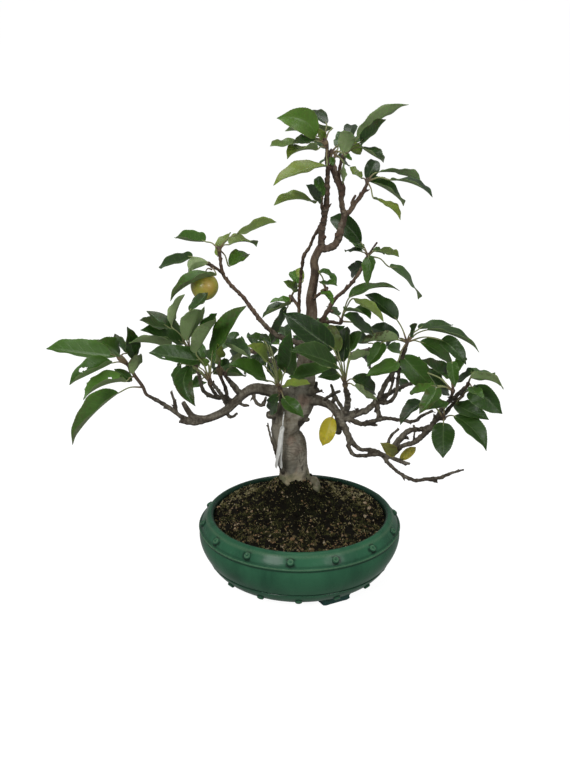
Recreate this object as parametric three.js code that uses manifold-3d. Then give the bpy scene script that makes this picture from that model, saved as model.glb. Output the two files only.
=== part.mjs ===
// Crabapple bonsai in a glazed drum pot: millimetres, +Z up, the viewer's side at -Y.
//
// The tree is set out on a front elevation sheet. The sheet is drawn in perspective, from an eye that
// stands in front of the tree and looks a little down on it. A point of the tree is given by its place
// on the sheet (across, down) and by its depth in millimetres behind the pot's axis (minus is nearer).

import * as THREE from "three";
import { mergeVertices } from "three/addons/utils/BufferGeometryUtils.js";
import Module from "manifold-3d";

// ---------------------------------------------------------------- driving dimensions

const SHEET = { centreAcross: 285, centreDown: 380, focal: 1383 };
const EYE = { x: -17.4, y: -1500, z: 805, lookDownDegrees: 20.35 };

const POT = {
  widestRadius: 120.2,
  widestHeight: 53,
  ridgeRadius: 120,
  ridgeHeight: 65,
  lipRadius: 107,
  lipHeight: 80.8,
  mouthRadius: 103,
  mouthHeight: 79,
  baseRadius: 84,
  baseHeight: 7.5,
  wall: 10,
  floorRadius: 76,
  floorTop: 17,
  drainRadius: 9,
  segments: 32,
};
const STUD = { count: 14, radius: 4.4, height: 3.4, sunk: 2, sides: 6, crown: 0.66 };
const UPPER_STUDS = { ringRadius: 114.2, ringHeight: 71.8, faceTiltDegrees: 47, turnDegrees: -5.6 };
const LOWER_STUDS = { ringRadius: 98.5, ringHeight: 17.5, faceTiltDegrees: -48, turnDegrees: -1 };
const FOOT = { count: 3, width: 34, height: 12, depth: 17, ringRadius: 76, firstDegrees: 29 };

const SOIL = {
  edgeHeight: 74,
  shoulderRise: 4,
  moundHeight: 40,
  moundSpread: 47,
  crownX: -5,
  crownY: 32,
  grit: 2,
  rings: 5,
  gap: 0.4,
};

const GAP = 0.35;
const SIMPLIFY = [0.04, 0.06, 0.08, 0.1, 0.12, 0.14, 0.16, 0.18, 0.2, 0.22];
const LEAF = {
  length: 62,
  widthRatio: 0.5,
  thickness: 1.5,
  stalkRadius: 0.65,
  foldDegrees: 20,
  arch: 0.1,
  wave: 1.5,
  sharedVolume: 12,
};
const BLADE_OUTLINE = { foot: 0.62, tip: 0.95, peak: 0.3413 };
const SHOOT = { radius: 1.8, tipRadius: 2.2, sides: 4, collar: 2.5, bud: 1.9, stalkOffset: 1.1 };
const FRUIT = { radius: 16.2, squat: 0.93, stalkRadius: 0.8, across: 204.5, down: 286.5, depth: 46 };
const LABEL = { width: 7, thickness: 0.8, loopRadius: 0.9 };

const SEED = { trunk: 11, limbs: 40, soil: 77, sprays: 500, loneLeaves: 900 };

const COLOUR = {
  glaze: 0x2f6b50,
  soil: 0x2b241b,
  bark: 0x5d5347,
  leaf: 0x3f6a2c,
  youngLeaf: 0x6f8a3a,
  yellowLeaf: 0xc2b52c,
  witheredLeaf: 0x7f7a2c,
  fruit: 0xb9a24a,
  label: 0xdde0de,
};

// ---------------------------------------------------------------- the sheet

const LOOK_DOWN = THREE.MathUtils.degToRad(EYE.lookDownDegrees);
const EYE_POINT = new THREE.Vector3(EYE.x, EYE.y, EYE.z);
const UP = new THREE.Vector3(0, 0, 1);

/** The point of the tree at a place on the sheet, at a depth behind the pot's axis. */
function sheetPoint(across, down, depth) {
  const rise = SHEET.centreDown - down;
  const ray = new THREE.Vector3(
    across - SHEET.centreAcross,
    rise * Math.sin(LOOK_DOWN) + SHEET.focal * Math.cos(LOOK_DOWN),
    rise * Math.cos(LOOK_DOWN) - SHEET.focal * Math.sin(LOOK_DOWN),
  );
  return EYE_POINT.clone().addScaledVector(ray, (depth - EYE.y) / ray.y);
}

/** Millimetres at a point for one unit of the sheet. */
function sheetUnit(point) {
  const away = point.clone().sub(EYE_POINT);
  return (away.y * Math.cos(LOOK_DOWN) - away.z * Math.sin(LOOK_DOWN)) / SHEET.focal;
}

/** A seeded stream of numbers from 0 to 1. */
function seededNumbers(seed) {
  let state = seed >>> 0;
  return () => {
    state = (Math.imul(state, 1664525) + 1013904223) >>> 0;
    return state / 4294967296;
  };
}

// ---------------------------------------------------------------- solids

const wasm = await Module();
wasm.setup();

/** A closed three.js geometry as a solid that can be joined and cut. */
function solidOf(geometry) {
  const bare = new THREE.BufferGeometry();
  bare.setAttribute("position", geometry.getAttribute("position").clone());
  if (geometry.index) bare.setIndex(geometry.index.clone());
  const merged = mergeVertices(bare, 1e-4);
  return new wasm.Manifold(new wasm.Mesh({
    numProp: 3,
    vertProperties: new Float32Array(merged.getAttribute("position").array),
    triVerts: new Uint32Array(merged.index.array),
  }));
}

/** Height of the thinnest triangle of a geometry. */
function thinnest(geometry) {
  const index = geometry.index;
  const position = geometry.getAttribute("position");
  const triangle = new THREE.Triangle();
  let least = Infinity;
  for (let i = 0; i < index.count; i += 3) {
    triangle.setFromAttributeAndIndices(position, index.getX(i), index.getX(i + 1), index.getX(i + 2));
    const { a, b, c } = triangle;
    const longest = Math.max(a.distanceTo(b), b.distanceTo(c), c.distanceTo(a));
    least = Math.min(least, (2 * triangle.getArea()) / longest);
  }
  return least;
}

/**
 * The geometry of a solid, as its largest piece, with loose scraps left out. Of a few small
 * simplifications it takes the one that leaves the fewest slivers.
 */
function geometryOf(solid) {
  let best = null;
  for (const tolerance of SIMPLIFY) {
    const pieces = solid.asOriginal().simplify(tolerance).decompose();
    pieces.sort((a, b) => b.volume() - a.volume());
    const mesh = pieces[0].getMesh();
    const geometry = new THREE.BufferGeometry();
    geometry.setAttribute("position", new THREE.BufferAttribute(new Float32Array(mesh.vertProperties), 3));
    geometry.setIndex(new THREE.BufferAttribute(new Uint32Array(mesh.triVerts), 1));
    const height = thinnest(geometry);
    if (!best || height > best.height) best = { geometry, height };
  }
  best.geometry.computeVertexNormals();
  return best.geometry;
}

/** Closed skin over rings of points, each ring counter-clockwise about the way it runs. */
function skin(rings, isFlipped = () => false) {
  const corners = [];
  const faces = [];
  const first = [];
  for (const ring of rings) {
    first.push(corners.length / 3);
    ring.forEach((point) => corners.push(point.x, point.y, point.z));
  }
  for (let k = 0; k < rings.length - 1; k += 1) {
    const near = rings[k].length;
    const far = rings[k + 1].length;
    const sides = Math.max(near, far);
    for (let i = 0; i < sides; i += 1) {
      const j = (i + 1) % sides;
      if (near === 1) faces.push(first[k], first[k + 1] + j, first[k + 1] + i);
      else if (far === 1) faces.push(first[k + 1], first[k] + i, first[k] + j);
      else {
        const [a, b, c, d] = [first[k] + i, first[k] + j, first[k + 1] + j, first[k + 1] + i];
        if (isFlipped(i)) faces.push(a, b, d, b, c, d);
        else faces.push(a, b, c, a, c, d);
      }
    }
  }
  capRing(faces, first[0], rings[0].length, true);
  capRing(faces, first[rings.length - 1], rings[rings.length - 1].length, false);
  const geometry = new THREE.BufferGeometry();
  geometry.setAttribute("position", new THREE.Float32BufferAttribute(corners, 3));
  geometry.setIndex(faces);
  return geometry;
}

/** Flat fan over an end ring. */
function capRing(faces, start, count, isFirst) {
  for (let i = 1; i < count - 1; i += 1) {
    if (isFirst) faces.push(start, start + i + 1, start + i);
    else faces.push(start, start + i, start + i + 1);
  }
}

/** A tapered round limb through points, with a radius at each and a lumpy section. */
function limb(points, radii, sides, lump = 0, seed = 1) {
  const next = seededNumbers(seed);
  const rings = [];
  let side = null;
  for (let k = 0; k < points.length; k += 1) {
    const before = points[Math.max(0, k - 1)];
    const after = points[Math.min(points.length - 1, k + 1)];
    const along = after.clone().sub(before).normalize();
    if (!side) side = Math.abs(along.z) > 0.9 ? new THREE.Vector3(1, 0, 0) : UP.clone();
    side.addScaledVector(along, -side.dot(along)).normalize();
    const across = along.clone().cross(side);
    const ring = [];
    for (let i = 0; i < sides; i += 1) {
      const angle = (i / sides) * 2 * Math.PI;
      const radius = radii[k] * (1 + lump * (next() - 0.5));
      ring.push(points[k].clone()
        .addScaledVector(side, radius * Math.cos(angle))
        .addScaledVector(across, radius * Math.sin(angle)));
    }
    rings.push(ring);
  }
  return solidOf(skin(rings));
}

// ---------------------------------------------------------------- pot

/** The pot's inside from its floor up to its mouth, as radius and height. */
function innerWall() {
  return [
    [POT.floorRadius, POT.floorTop],
    [101, 32],
    [POT.widestRadius - POT.wall, POT.widestHeight],
    [POT.mouthRadius + 1, POT.ridgeHeight],
  ];
}

/** The pot's wall as a ring that is turned about its axis, with the drainage hole in its floor. */
function potBody() {
  const p = POT;
  const outline = [
    [p.drainRadius, p.baseHeight],
    [p.baseRadius - 6, p.baseHeight],
    [p.baseRadius, p.baseHeight + 1.5],
    [94, 14.5],
    [105.4, 24.5],
    [115.4, 38],
    [p.widestRadius, p.widestHeight],
    [p.ridgeRadius - 1.2, p.ridgeHeight - 3],
    [p.ridgeRadius, p.ridgeHeight],
    [p.ridgeRadius - 2, p.ridgeHeight + 1.6],
    [p.lipRadius + 4.6, p.lipHeight - 4.4],
    [p.lipRadius + 3.2, p.lipHeight - 1.6],
    [p.lipRadius, p.lipHeight],
    [p.mouthRadius, p.mouthHeight],
    ...innerWall().reverse(),
    [p.drainRadius, p.floorTop],
    [p.drainRadius, p.baseHeight],
  ].map(([radius, height]) => new THREE.Vector2(radius, height));
  const turned = new THREE.LatheGeometry(outline, p.segments);
  turned.rotateX(Math.PI / 2);
  return solidOf(turned);
}

/** A domed stud at an angle round the pot, measured from the viewer's side towards +X. */
function stud(row, degrees) {
  const turn = THREE.MathUtils.degToRad(degrees);
  const tilt = THREE.MathUtils.degToRad(row.faceTiltDegrees);
  const out = new THREE.Vector3(Math.sin(turn), -Math.cos(turn), 0);
  const facing = out.clone().multiplyScalar(Math.cos(tilt)).addScaledVector(UP, Math.sin(tilt));
  const foot = new THREE.Vector3(out.x * row.ringRadius, out.y * row.ringRadius, row.ringHeight);
  const places = [-STUD.sunk, STUD.height].map((step) => foot.clone().addScaledVector(facing, step));
  return limb(places, [STUD.radius, STUD.radius * STUD.crown], STUD.sides);
}

/** A cloud-shaped foot under the pot, flat where it stands. */
function foot(degrees) {
  const half = FOOT.width / 2;
  const cloud = new THREE.Shape();
  cloud.moveTo(-half * 0.72, 0);
  cloud.lineTo(half * 0.72, 0);
  cloud.quadraticCurveTo(half, FOOT.height * 0.1, half * 0.92, FOOT.height * 0.5);
  cloud.quadraticCurveTo(half * 1.1, FOOT.height * 0.75, half, FOOT.height);
  cloud.lineTo(-half, FOOT.height);
  cloud.quadraticCurveTo(-half * 1.1, FOOT.height * 0.75, -half * 0.92, FOOT.height * 0.5);
  cloud.quadraticCurveTo(-half, FOOT.height * 0.1, -half * 0.72, 0);
  const block = new THREE.ExtrudeGeometry(cloud, { depth: FOOT.depth, bevelEnabled: false, curveSegments: 2 });
  block.rotateX(Math.PI / 2);
  block.translate(0, -FOOT.ringRadius + FOOT.depth / 2 + 1, 0);
  block.rotateZ(THREE.MathUtils.degToRad(degrees));
  return solidOf(block);
}

function pot() {
  const parts = [potBody()];
  for (let i = 0; i < STUD.count; i += 1) {
    const degrees = (360 / STUD.count) * i;
    for (const row of [UPPER_STUDS, LOWER_STUDS]) parts.push(stud(row, degrees + row.turnDegrees));
  }
  for (let i = 0; i < FOOT.count; i += 1) parts.push(foot(FOOT.firstDegrees + (360 / FOOT.count) * i));
  return wasm.Manifold.union(parts);
}

// ---------------------------------------------------------------- wood

/**
 * Each limb runs through [across, down, depth, thickness] places on the sheet.
 * Limbs start inside the limb that they grow from.
 */
const TRUNK = [
  [295.5, 499, 30, 46], [295, 486, 30, 42], [294.5, 475, 30, 36.5], [294, 466, 29, 34.5], [291.8, 452, 28, 38],
  [289.8, 442, 26, 38.5], [284.5, 432, 24, 33.5], [286.5, 422, 22, 36], [293, 411, 22, 40],
  [300, 399, 22, 38], [303, 386, 22, 30], [305, 370, 21, 24], [308, 350, 20, 19], [310, 330, 19, 15.5],
  [312, 310, 18, 13], [311, 300, 17, 12], [313, 285, 15, 10.5], [315, 270, 14, 10], [314, 262, 13, 9.4],
  [318, 252, 12, 9], [322, 245, 12, 9],
];

const LIMBS = [
  // surface roots, down into the soil
  { name: "root_left", path: [[290, 464, 25, 13], [285.5, 475, 18, 10], [285, 486, 10, 7]] },
  { name: "root_right", path: [[302, 463, 27, 15], [310, 473, 25, 13], [316.5, 483, 20, 12], [319, 494, 14, 7]] },
  { name: "root_back", path: [[296, 462, 38, 18], [299, 470, 54, 14], [301, 480, 68, 8]] },
  // stubs and knots on the trunk
  { name: "knot_left", path: [[282, 413, 20, 14], [274, 414.5, 15, 12], [267.5, 415, 12, 8.5]] },
  { name: "knot_right", path: [[297, 418, 18, 9], [304, 419, 12, 7], [309.5, 420, 10, 4]] },
  { name: "knot_upper_right", path: [[304, 392, 18, 13], [311, 391, 8, 10], [318, 390.5, 4, 7]] },
  { name: "snag_upper_right", path: [[314, 390, 7, 4.4], [316, 386, 5, 4], [316.5, 381.5, 4, 3.4]] },
  { name: "dead_sucker", path: [[287, 480, 22, 4], [279.5, 466, 9, 3], [275, 451, 7, 3], [270, 435, 7, 2.6],
    [267.5, 422.5, 7, 2.2]] },
  // crown
  { name: "left_leader", path: [[322, 247, 12, 8], [321, 240, 11, 7.4], [322, 230, 9, 7], [324, 220, 7, 6.6],
    [326, 210, 5, 6.2], [327, 195, 2, 5.8], [327, 180, -1, 5.4], [328, 170, -3, 5], [327, 160, -5, 4.6],
    [327, 153, -6, 4.2]] },
  { name: "right_leader", path: [[320, 249, 12, 8.4], [330, 248, 14, 8], [336, 243, 15, 8], [340, 233, 16, 7.8],
    [343, 222, 16, 7.4], [345, 213, 16, 7.4]] },
  { name: "middle_shoot", path: [[345, 216, 16, 6.4], [342, 205, 14, 6], [341, 195, 12, 5.8], [340, 188, 10, 5.6],
    [334, 175, 7, 5], [332, 167, 5, 4.6], [331, 159, 3, 4.2]] },
  { name: "middle_arm", path: [[340.5, 191, 11, 4.6], [339, 174, 13, 4.2], [341, 162.5, 16, 3.8]] },
  { name: "crown_back_shoot", path: [[337, 181, 8, 4.4], [336, 172, 22, 4], [334, 165, 36, 3.8]] },
  { name: "right_shoot", path: [[344, 216, 16, 6], [349, 212, 18, 5.6], [354, 205, 21, 5.2], [360, 197, 24, 4.8],
    [364, 191, 26, 4.4], [366, 186, 27, 4]] },
  { name: "right_shoot_stub", path: [[352, 208, 20, 4], [353, 200, 18, 3.6], [356, 195, 17, 3]] },
  { name: "crown_left_twig", path: [[324, 219, 7, 4.4], [322.5, 210, 1, 4], [321.5, 203, -4, 3.6]] },
  { name: "slim_shoot", path: [[307, 338, 20, 5.4], [300, 320, 30, 4.4], [299, 302, 36, 4], [300, 288, 36, 4],
    [302, 266, 32, 3.8], [304, 256, 29, 4.2], [309, 248, 25, 3.6], [314, 237, 19, 3.6], [320, 226, 11, 3.6],
    [325, 218, 6, 3.4]] },
  { name: "slim_shoot_stub", path: [[302.5, 259, 30, 3.8], [304.5, 253, 33, 3.2]] },
  { name: "slim_shoot_arm", path: [[299, 308, 35, 4], [297, 304, 40, 4], [294.5, 301, 45, 3.8]] },
  { name: "leader_twig", path: [[313, 299, 16, 4.4], [318, 295, 8, 3.6], [323.5, 291, 4, 3.2]] },
  // fruit branch, upper left
  { name: "fruit_branch", path: [[306, 346, 22, 8], [292, 341, 29, 6.6], [280, 337, 34, 6], [268, 328, 39, 5.6],
    [254, 312, 44, 5], [243, 297, 48, 4.6], [231, 285, 52, 4.4], [225, 278, 54, 4.2], [221.5, 268, 55, 4],
    [220, 256, 55, 3.6]] },
  { name: "fruit_spur", path: [[223, 274, 54, 4], [219, 270, 50, 3.8], [215.5, 268, 47, 3.6]] },
  // upper right branch
  { name: "upper_right_branch", path: [[310, 336, 20, 7], [322, 320, 27, 5.6], [328, 310, 31, 5], [334, 300, 35, 4.6],
    [344, 291, 39, 4.4], [354, 280, 44, 4.2], [361, 270, 47, 4], [366, 261, 49, 3.8]] },
  { name: "upper_right_twig", path: [[322, 321, 27, 4.4], [331, 322, 24, 4], [338, 323, 21, 3.6]] },
  // lower left bough
  { name: "left_bough", path: [[302, 400, 22, 24], [284, 395, 13, 19], [266, 390, 4, 14], [252, 389, -4, 12],
    [244, 393.5, -8, 11], [235, 402, -12, 10.5], [226, 410.5, -14, 10], [215, 416, -16, 9.4],
    [204, 419, -18, 9], [193, 416.5, -20, 7.6], [187, 409, -21, 6.6], [183, 402, -22, 5.4]] },
  { name: "left_bough_arm", path: [[243, 397, -9, 8], [233, 385, -15, 6.4], [227, 378, -19, 5]] },
  { name: "left_bough_nub", path: [[207, 420, -17, 6.4], [194, 423, -21, 5.4], [179, 421.5, -25, 3.8]] },
  { name: "left_tip_branch", path: [[197, 420, -19, 6.4], [186, 419, -21, 5.4], [176, 413, -23, 5], [167, 406, -25, 4.8],
    [157, 400.5, -27, 4.6], [149, 396, -29, 4.2]] },
  { name: "left_snag", path: [[177, 414, -23, 4], [175, 403, -26, 3.8], [171, 391.5, -28, 2.8]] },
  { name: "left_inner_twig", path: [[233, 407, -12, 5.4], [226, 397, -16, 5], [219, 398, -20, 4.8],
    [210, 395.5, -24, 4.6], [203, 390, -26, 4.4], [200, 378, -25, 4.2], [195, 365, -22, 4], [191, 356, -20, 3.8]] },
  { name: "left_fore_twig", path: [[219, 399, -20, 4.6], [214, 392, -32, 4.2], [210.5, 386, -42, 3.8]] },
  { name: "left_upper_twig", path: [[227, 398, -16, 4.6], [226, 390, -20, 4.4], [222, 380, -24, 3.8]] },
  { name: "left_hanging_twig", path: [[255, 390, -2, 5], [254, 397, -6, 4], [258, 404, -9, 4], [262, 405, -10, 4.4],
    [266, 396.5, -11, 3]] },
  { name: "left_back_twig", path: [[229, 409, -13, 5.4], [224, 399, 14, 4.8], [218, 390, 42, 4.4],
    [212, 383, 66, 4]] },
  // right bough
  { name: "right_bough", path: [[298, 404, 22, 22], [312, 400, 14, 15.5], [324, 402.5, 7, 13], [333, 408, 1, 12.6],
    [339.5, 417, -4, 12]] },
  { name: "right_stub", path: [[337, 418, -3, 8], [339, 427, -1, 7], [338.5, 434, 0, 5.6]] },
  { name: "right_lower", path: [[338, 413, -2, 9], [342.5, 424, -6, 9.4], [347, 433, -8, 9], [351, 443, -10, 8.4]] },
  { name: "right_strand_front", path: [[350.5, 438, -10, 6], [349, 448, -13, 5.8], [353.5, 454.5, -15, 5.6],
    [365, 455, -16, 5.6], [379, 453.5, -17, 7], [393, 458, -19, 6.6], [402, 462, -21, 5], [410, 464, -23, 3.6]] },
  { name: "right_strand_back", path: [[350.5, 439, -10, 6.4], [356, 447.5, -8, 6.2], [361, 450.5, -9, 6],
    [370, 450.5, -12, 6], [381, 453, -16, 6]] },
  { name: "right_low_twig", path: [[381, 454, -17, 5.6], [392, 467, -24, 4.8], [406, 477, -34, 5], [413, 480, -38, 5],
    [428, 479, -44, 4.6], [442, 477, -48, 4.8], [449, 474, -51, 4], [464, 469.5, -57, 2.6]] },
  { name: "right_outer_arm", path: [[391, 457, -19, 6], [398, 450, -20, 5.6], [405, 445, -22, 5.4],
    [413, 443, -24, 5.8], [421, 437, -27, 6.2], [431, 427, -31, 6.2], [437, 417, -33, 6], [445, 405, -36, 5.4],
    [455, 397, -39, 5], [462, 391, -42, 4.6], [466, 387, -44, 4.2]] },
  { name: "right_upper_arm", path: [[389, 455, -18, 7], [396, 443.5, -15, 7.4], [402, 437, -14, 7], [409, 430.5, -15, 6],
    [420, 429.5, -22, 5.2], [432, 426, -31, 5]] },
  { name: "right_outer_strand", path: [[437, 420, -33, 5.4], [446, 412.5, -30, 4.8], [452, 405, -27, 4.4],
    [459, 399, -25, 4]] },
  { name: "right_end_spur", path: [[450, 401, -37, 4.4], [451, 397.5, -43, 4], [452, 394.5, -48, 3.6]] },
  { name: "right_low_spur", path: [[436, 418, -33, 4.6], [439, 418.5, -38, 4.2], [442, 419, -43, 3.8]] },
  { name: "right_wire_twig", path: [[388, 450, -17, 4], [388.5, 441, -15, 3.6], [391, 436, -14, 3.4],
    [399, 428.5, -13, 3]] },
  { name: "dry_stalk", path: [[413, 443, -24, 3], [414.5, 431, -29, 2.4], [414, 425, -30, 3.4]] },
  { name: "right_upper_bough", path: [[336, 413, -1, 10], [347, 415, -2, 9.4], [362, 412, 1, 8.2], [373, 405, 4, 7.6],
    [379, 397, 6, 7.4], [385, 385, 10, 7], [392, 374, 13, 6.8], [398, 365, 15, 6.2], [403, 355, 17, 5.6],
    [406, 347, 18, 5]] },
  { name: "right_side_strand", path: [[377, 402, 5, 6.4], [389, 402, 2, 5.8], [396, 394, 3, 5.6], [398, 380, 8, 5.4],
    [399, 366, 15, 5]] },
  { name: "right_mid_strand", path: [[384, 401, 4, 4.6], [390, 391, 6, 4.4], [394, 377, 12, 4.4]] },
  { name: "right_mid_arm", path: [[343, 417, -5, 8], [353, 420.5, -8, 7], [361, 424, -10, 6.4], [372, 421.5, -12, 6.4],
    [383, 418.5, -12, 5.4], [400, 420, -10, 4.6], [415, 421, -10, 4.2], [421, 416.5, -11, 4], [433, 410.5, -13, 3]] },
  { name: "right_link", path: [[376, 401, 5, 6], [378, 410, -4, 5.4], [379, 420, -12, 5.4]] },
  { name: "right_back_twig", path: [[378, 401, 5, 6], [390, 393, 32, 5], [402, 387, 56, 4.6], [412, 383, 76, 4]] },
  // twigs to the front clusters
  { name: "front_right_twig", path: [[344, 416, -4, 7.4], [347.5, 405, -14, 7], [347.5, 396, -27, 6.4],
    [346, 389, -38, 5.4]] },
  { name: "front_cross_twig", path: [[321, 402, 8, 5], [331, 395, 1, 4], [340, 391, -10, 3.8]] },
  { name: "front_thin_twig", path: [[343, 410, -8, 4.4], [335, 396, 0, 4], [331, 384, -2, 3.4]] },
  { name: "front_thin_link", path: [[335, 396, 0, 4], [331, 406, 3, 4]] },
  { name: "front_left_twig", path: [[288, 398, 12, 9], [283, 394, -6, 6.6], [281, 392, -18, 5.2]] },
  // boughs at the back
  { name: "back_bough", path: [[303, 380, 24, 15], [300, 368, 48, 10], [306, 358, 80, 7.6], [314, 351, 108, 6],
    [321, 347, 128, 4.6]] },
  { name: "back_left_arm", path: [[304, 361, 70, 6.4], [296, 354, 96, 5], [290, 350, 114, 4.2]] },
  { name: "back_right_bough", path: [[305, 374, 26, 11], [322, 364, 52, 8], [342, 357, 80, 6.4], [360, 352, 104, 5.4],
    [371, 349, 118, 4.4]] },
  { name: "back_left_bough", path: [[302, 376, 26, 10], [284, 368, 48, 7.4], [268, 360, 70, 5.8], [257, 354, 88, 4.4]] },
];

/** Sides of a limb's section: more on thick wood. */
function sidesFor(thickness) {
  if (thickness > 30) return 9;
  if (thickness > 12) return 6;
  if (thickness > 8.4) return 5;
  return thickness > 5 ? 4 : 3;
}

/** A limb through its places on the sheet, grown all round by a clearance where one is asked for. */
function limbFromSheet(path, lump, seed, clearance = 0) {
  const points = path.map(([across, down, depth]) => sheetPoint(across, down, depth));
  const radii = path.map((place) => place[3] / 2 + clearance);
  const sides = sidesFor(Math.max(...path.map((place) => place[3])));
  return limb(points, radii, sides, lump, seed);
}

function wood(clearance = 0) {
  const parts = [limbFromSheet(TRUNK, 0.1, SEED.trunk, clearance)];
  LIMBS.forEach(({ path }, index) => parts.push(limbFromSheet(path, 0.12, SEED.limbs + index, clearance)));
  return wasm.Manifold.union(parts);
}

// ---------------------------------------------------------------- soil

/** Height of the soil: a mound at the trunk's foot, sloping to the pot's wall. */
function soilHeight(x, y) {
  const fromTrunk = Math.hypot(x - SOIL.crownX, y - SOIL.crownY);
  const fromWall = Math.max(0, 1 - Math.hypot(x, y) / POT.mouthRadius);
  const shoulder = Math.min(1, fromWall * 3);
  const mound = Math.exp(-((fromTrunk / SOIL.moundSpread) ** 2));
  return SOIL.edgeHeight + SOIL.moundHeight * mound * shoulder + SOIL.shoulderRise * shoulder;
}

function soil(woodCutter) {
  const next = seededNumbers(SEED.soil);
  const rings = [[new THREE.Vector3(0, 0, POT.floorTop + SOIL.gap)]];
  innerWall().forEach(([radius, height]) => rings.push(soilRing(radius - SOIL.gap, () => height + SOIL.gap)));
  for (let k = 0; k < SOIL.rings; k += 1) {
    const radius = (POT.mouthRadius - SOIL.gap) * (1 - (k / SOIL.rings) ** 1.1);
    const grit = k > 0 ? SOIL.grit : 0;
    rings.push(soilRing(radius, (x, y) => soilHeight(x, y) + grit * (next() * 2 - 1)));
  }
  rings.push([new THREE.Vector3(0, 0, soilHeight(0, 0))]);
  return solidOf(skin(rings)).subtract(woodCutter);
}

function soilRing(radius, heightAt) {
  const ring = [];
  for (let i = 0; i < POT.segments; i += 1) {
    const angle = (i / POT.segments) * 2 * Math.PI;
    const [x, y] = [radius * Math.cos(angle), radius * Math.sin(angle)];
    ring.push(new THREE.Vector3(x, y, heightAt(x, y)));
  }
  return ring;
}

// ---------------------------------------------------------------- leaves

/**
 * The way a blade lies: its axis, its side and its top face. The blade is rolled about its axis until it
 * shows the width that the sheet gives, with its top or its underside to the eye, and of the two rolls
 * that do so it takes the one that turns its top more to the sky.
 */
function bladeFrame(base, tip, shownWidth, isUnderside) {
  const axis = tip.clone().sub(base);
  const length = axis.length();
  axis.normalize();
  const view = base.clone().add(tip).multiplyScalar(0.5).sub(EYE_POINT).normalize();
  const side = axis.clone().cross(view).normalize();
  const face = axis.clone().cross(side);
  const width = Math.max(length * LEAF.widthRatio, shownWidth);
  const roll = Math.acos(THREE.MathUtils.clamp(shownWidth / width, 0.12, 1));
  let best = null;
  for (const turn of isUnderside ? [Math.PI - roll, roll - Math.PI] : [roll, -roll]) {
    const top = face.clone().multiplyScalar(Math.cos(turn)).addScaledVector(side, -Math.sin(turn));
    if (best && best.top.z >= top.z) continue;
    const edge = side.clone().multiplyScalar(Math.cos(turn)).addScaledVector(face, Math.sin(turn));
    best = { top, edge };
  }
  return { axis, side: best.edge, top: best.top, length, width };
}

/** Half-width of a blade along its length, as a share of its widest: full near the stalk, drawn to a tip. */
function outlineShare(u) {
  return (u ** BLADE_OUTLINE.foot * (1 - u) ** BLADE_OUTLINE.tip) / BLADE_OUTLINE.peak;
}

/** Places along a blade where its section is set: more on a long blade. */
function bladeStations(length) {
  if (length > 60) return [0.15, 0.38, 0.62, 0.85];
  return length > 40 ? [0.2, 0.5, 0.82] : [0.3, 0.72];
}

/** A leaf: its stalk and its blade as one body, a thin folded and arched lens with waved edges. */
function leafSolid(leaf) {
  const { axis, side, top, length, width } = leaf.frame;
  const stations = bladeStations(length);
  const fold = THREE.MathUtils.degToRad(leaf.fold);
  const rings = stalkRings(leaf);
  stations.forEach((u, k) => {
    const middle = bladeMiddle(leaf, u);
    const along = axis.clone().addScaledVector(top, leaf.arch * 4 * (1 - 2 * u)).normalize();
    const over = along.clone().cross(side).normalize();
    const half = (width / 2) * outlineShare(u) * (k % 2 ? 0.97 : 1.03);
    const ring = [];
    for (const [hand, lift] of [[1, 0], [0, 1], [-1, 0], [0, -1]]) {
      const wave = LEAF.wave * Math.sin(leaf.phase + hand * 1.3 + u * 9) * (half / (width / 2));
      ring.push(middle.clone()
        .addScaledVector(side, hand * half * Math.cos(fold))
        .addScaledVector(over, Math.abs(hand) * (half * Math.sin(fold) + wave) + (LEAF.thickness / 2) * lift));
    }
    rings.push(ring);
  });
  rings.push([leaf.tip.clone()]);
  return solidOf(skin(rings, (i) => i === 1 || i === 3));
}

/** A point on a blade's midrib. */
function bladeMiddle(leaf, u) {
  const { axis, top, length } = leaf.frame;
  return leaf.base.clone()
    .addScaledVector(axis, length * u)
    .addScaledVector(top, leaf.arch * length * 4 * u * (1 - u));
}

/** Rings of the leaf's stalk, from inside its shoot to the foot of its blade. */
function stalkRings(leaf) {
  const reach = leaf.base.distanceTo(leaf.origin);
  const bend = leaf.origin.clone().lerp(leaf.base, 0.5).addScaledVector(UP, reach * 0.12);
  const places = reach > 24 ? [leaf.base, bend, leaf.origin] : [leaf.base, leaf.origin];
  let side = leaf.frame.side.clone();
  let ahead = leaf.base.clone().add(leaf.frame.axis);
  const rings = places.map((place) => {
    const along = ahead.clone().sub(place).normalize();
    side = side.clone().addScaledVector(along, -side.dot(along)).normalize();
    const over = along.clone().cross(side);
    ahead = place;
    return [1, 0, -1, 0].map((hand, i) => place.clone()
      .addScaledVector(side, hand * LEAF.stalkRadius)
      .addScaledVector(over, [0, 1, 0, -1][i] * LEAF.stalkRadius));
  });
  return rings.reverse();
}

/**
 * Depth that a leaf's tip may take in front of its foot, nearest the likely one first. A leaf that the
 * sheet shows shorter than its full length points towards the viewer or away.
 */
function tipDepths(shownLength, fullLength, lean) {
  const hidden = Math.sqrt(Math.max(0, fullLength ** 2 - shownLength ** 2));
  const reach = THREE.MathUtils.clamp(hidden, 14, 46);
  return [1, -1, 0.55, -0.55, 0.2, -0.2, 1.5, -1.5, 2, -2].map((share) => lean * share * reach);
}

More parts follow.
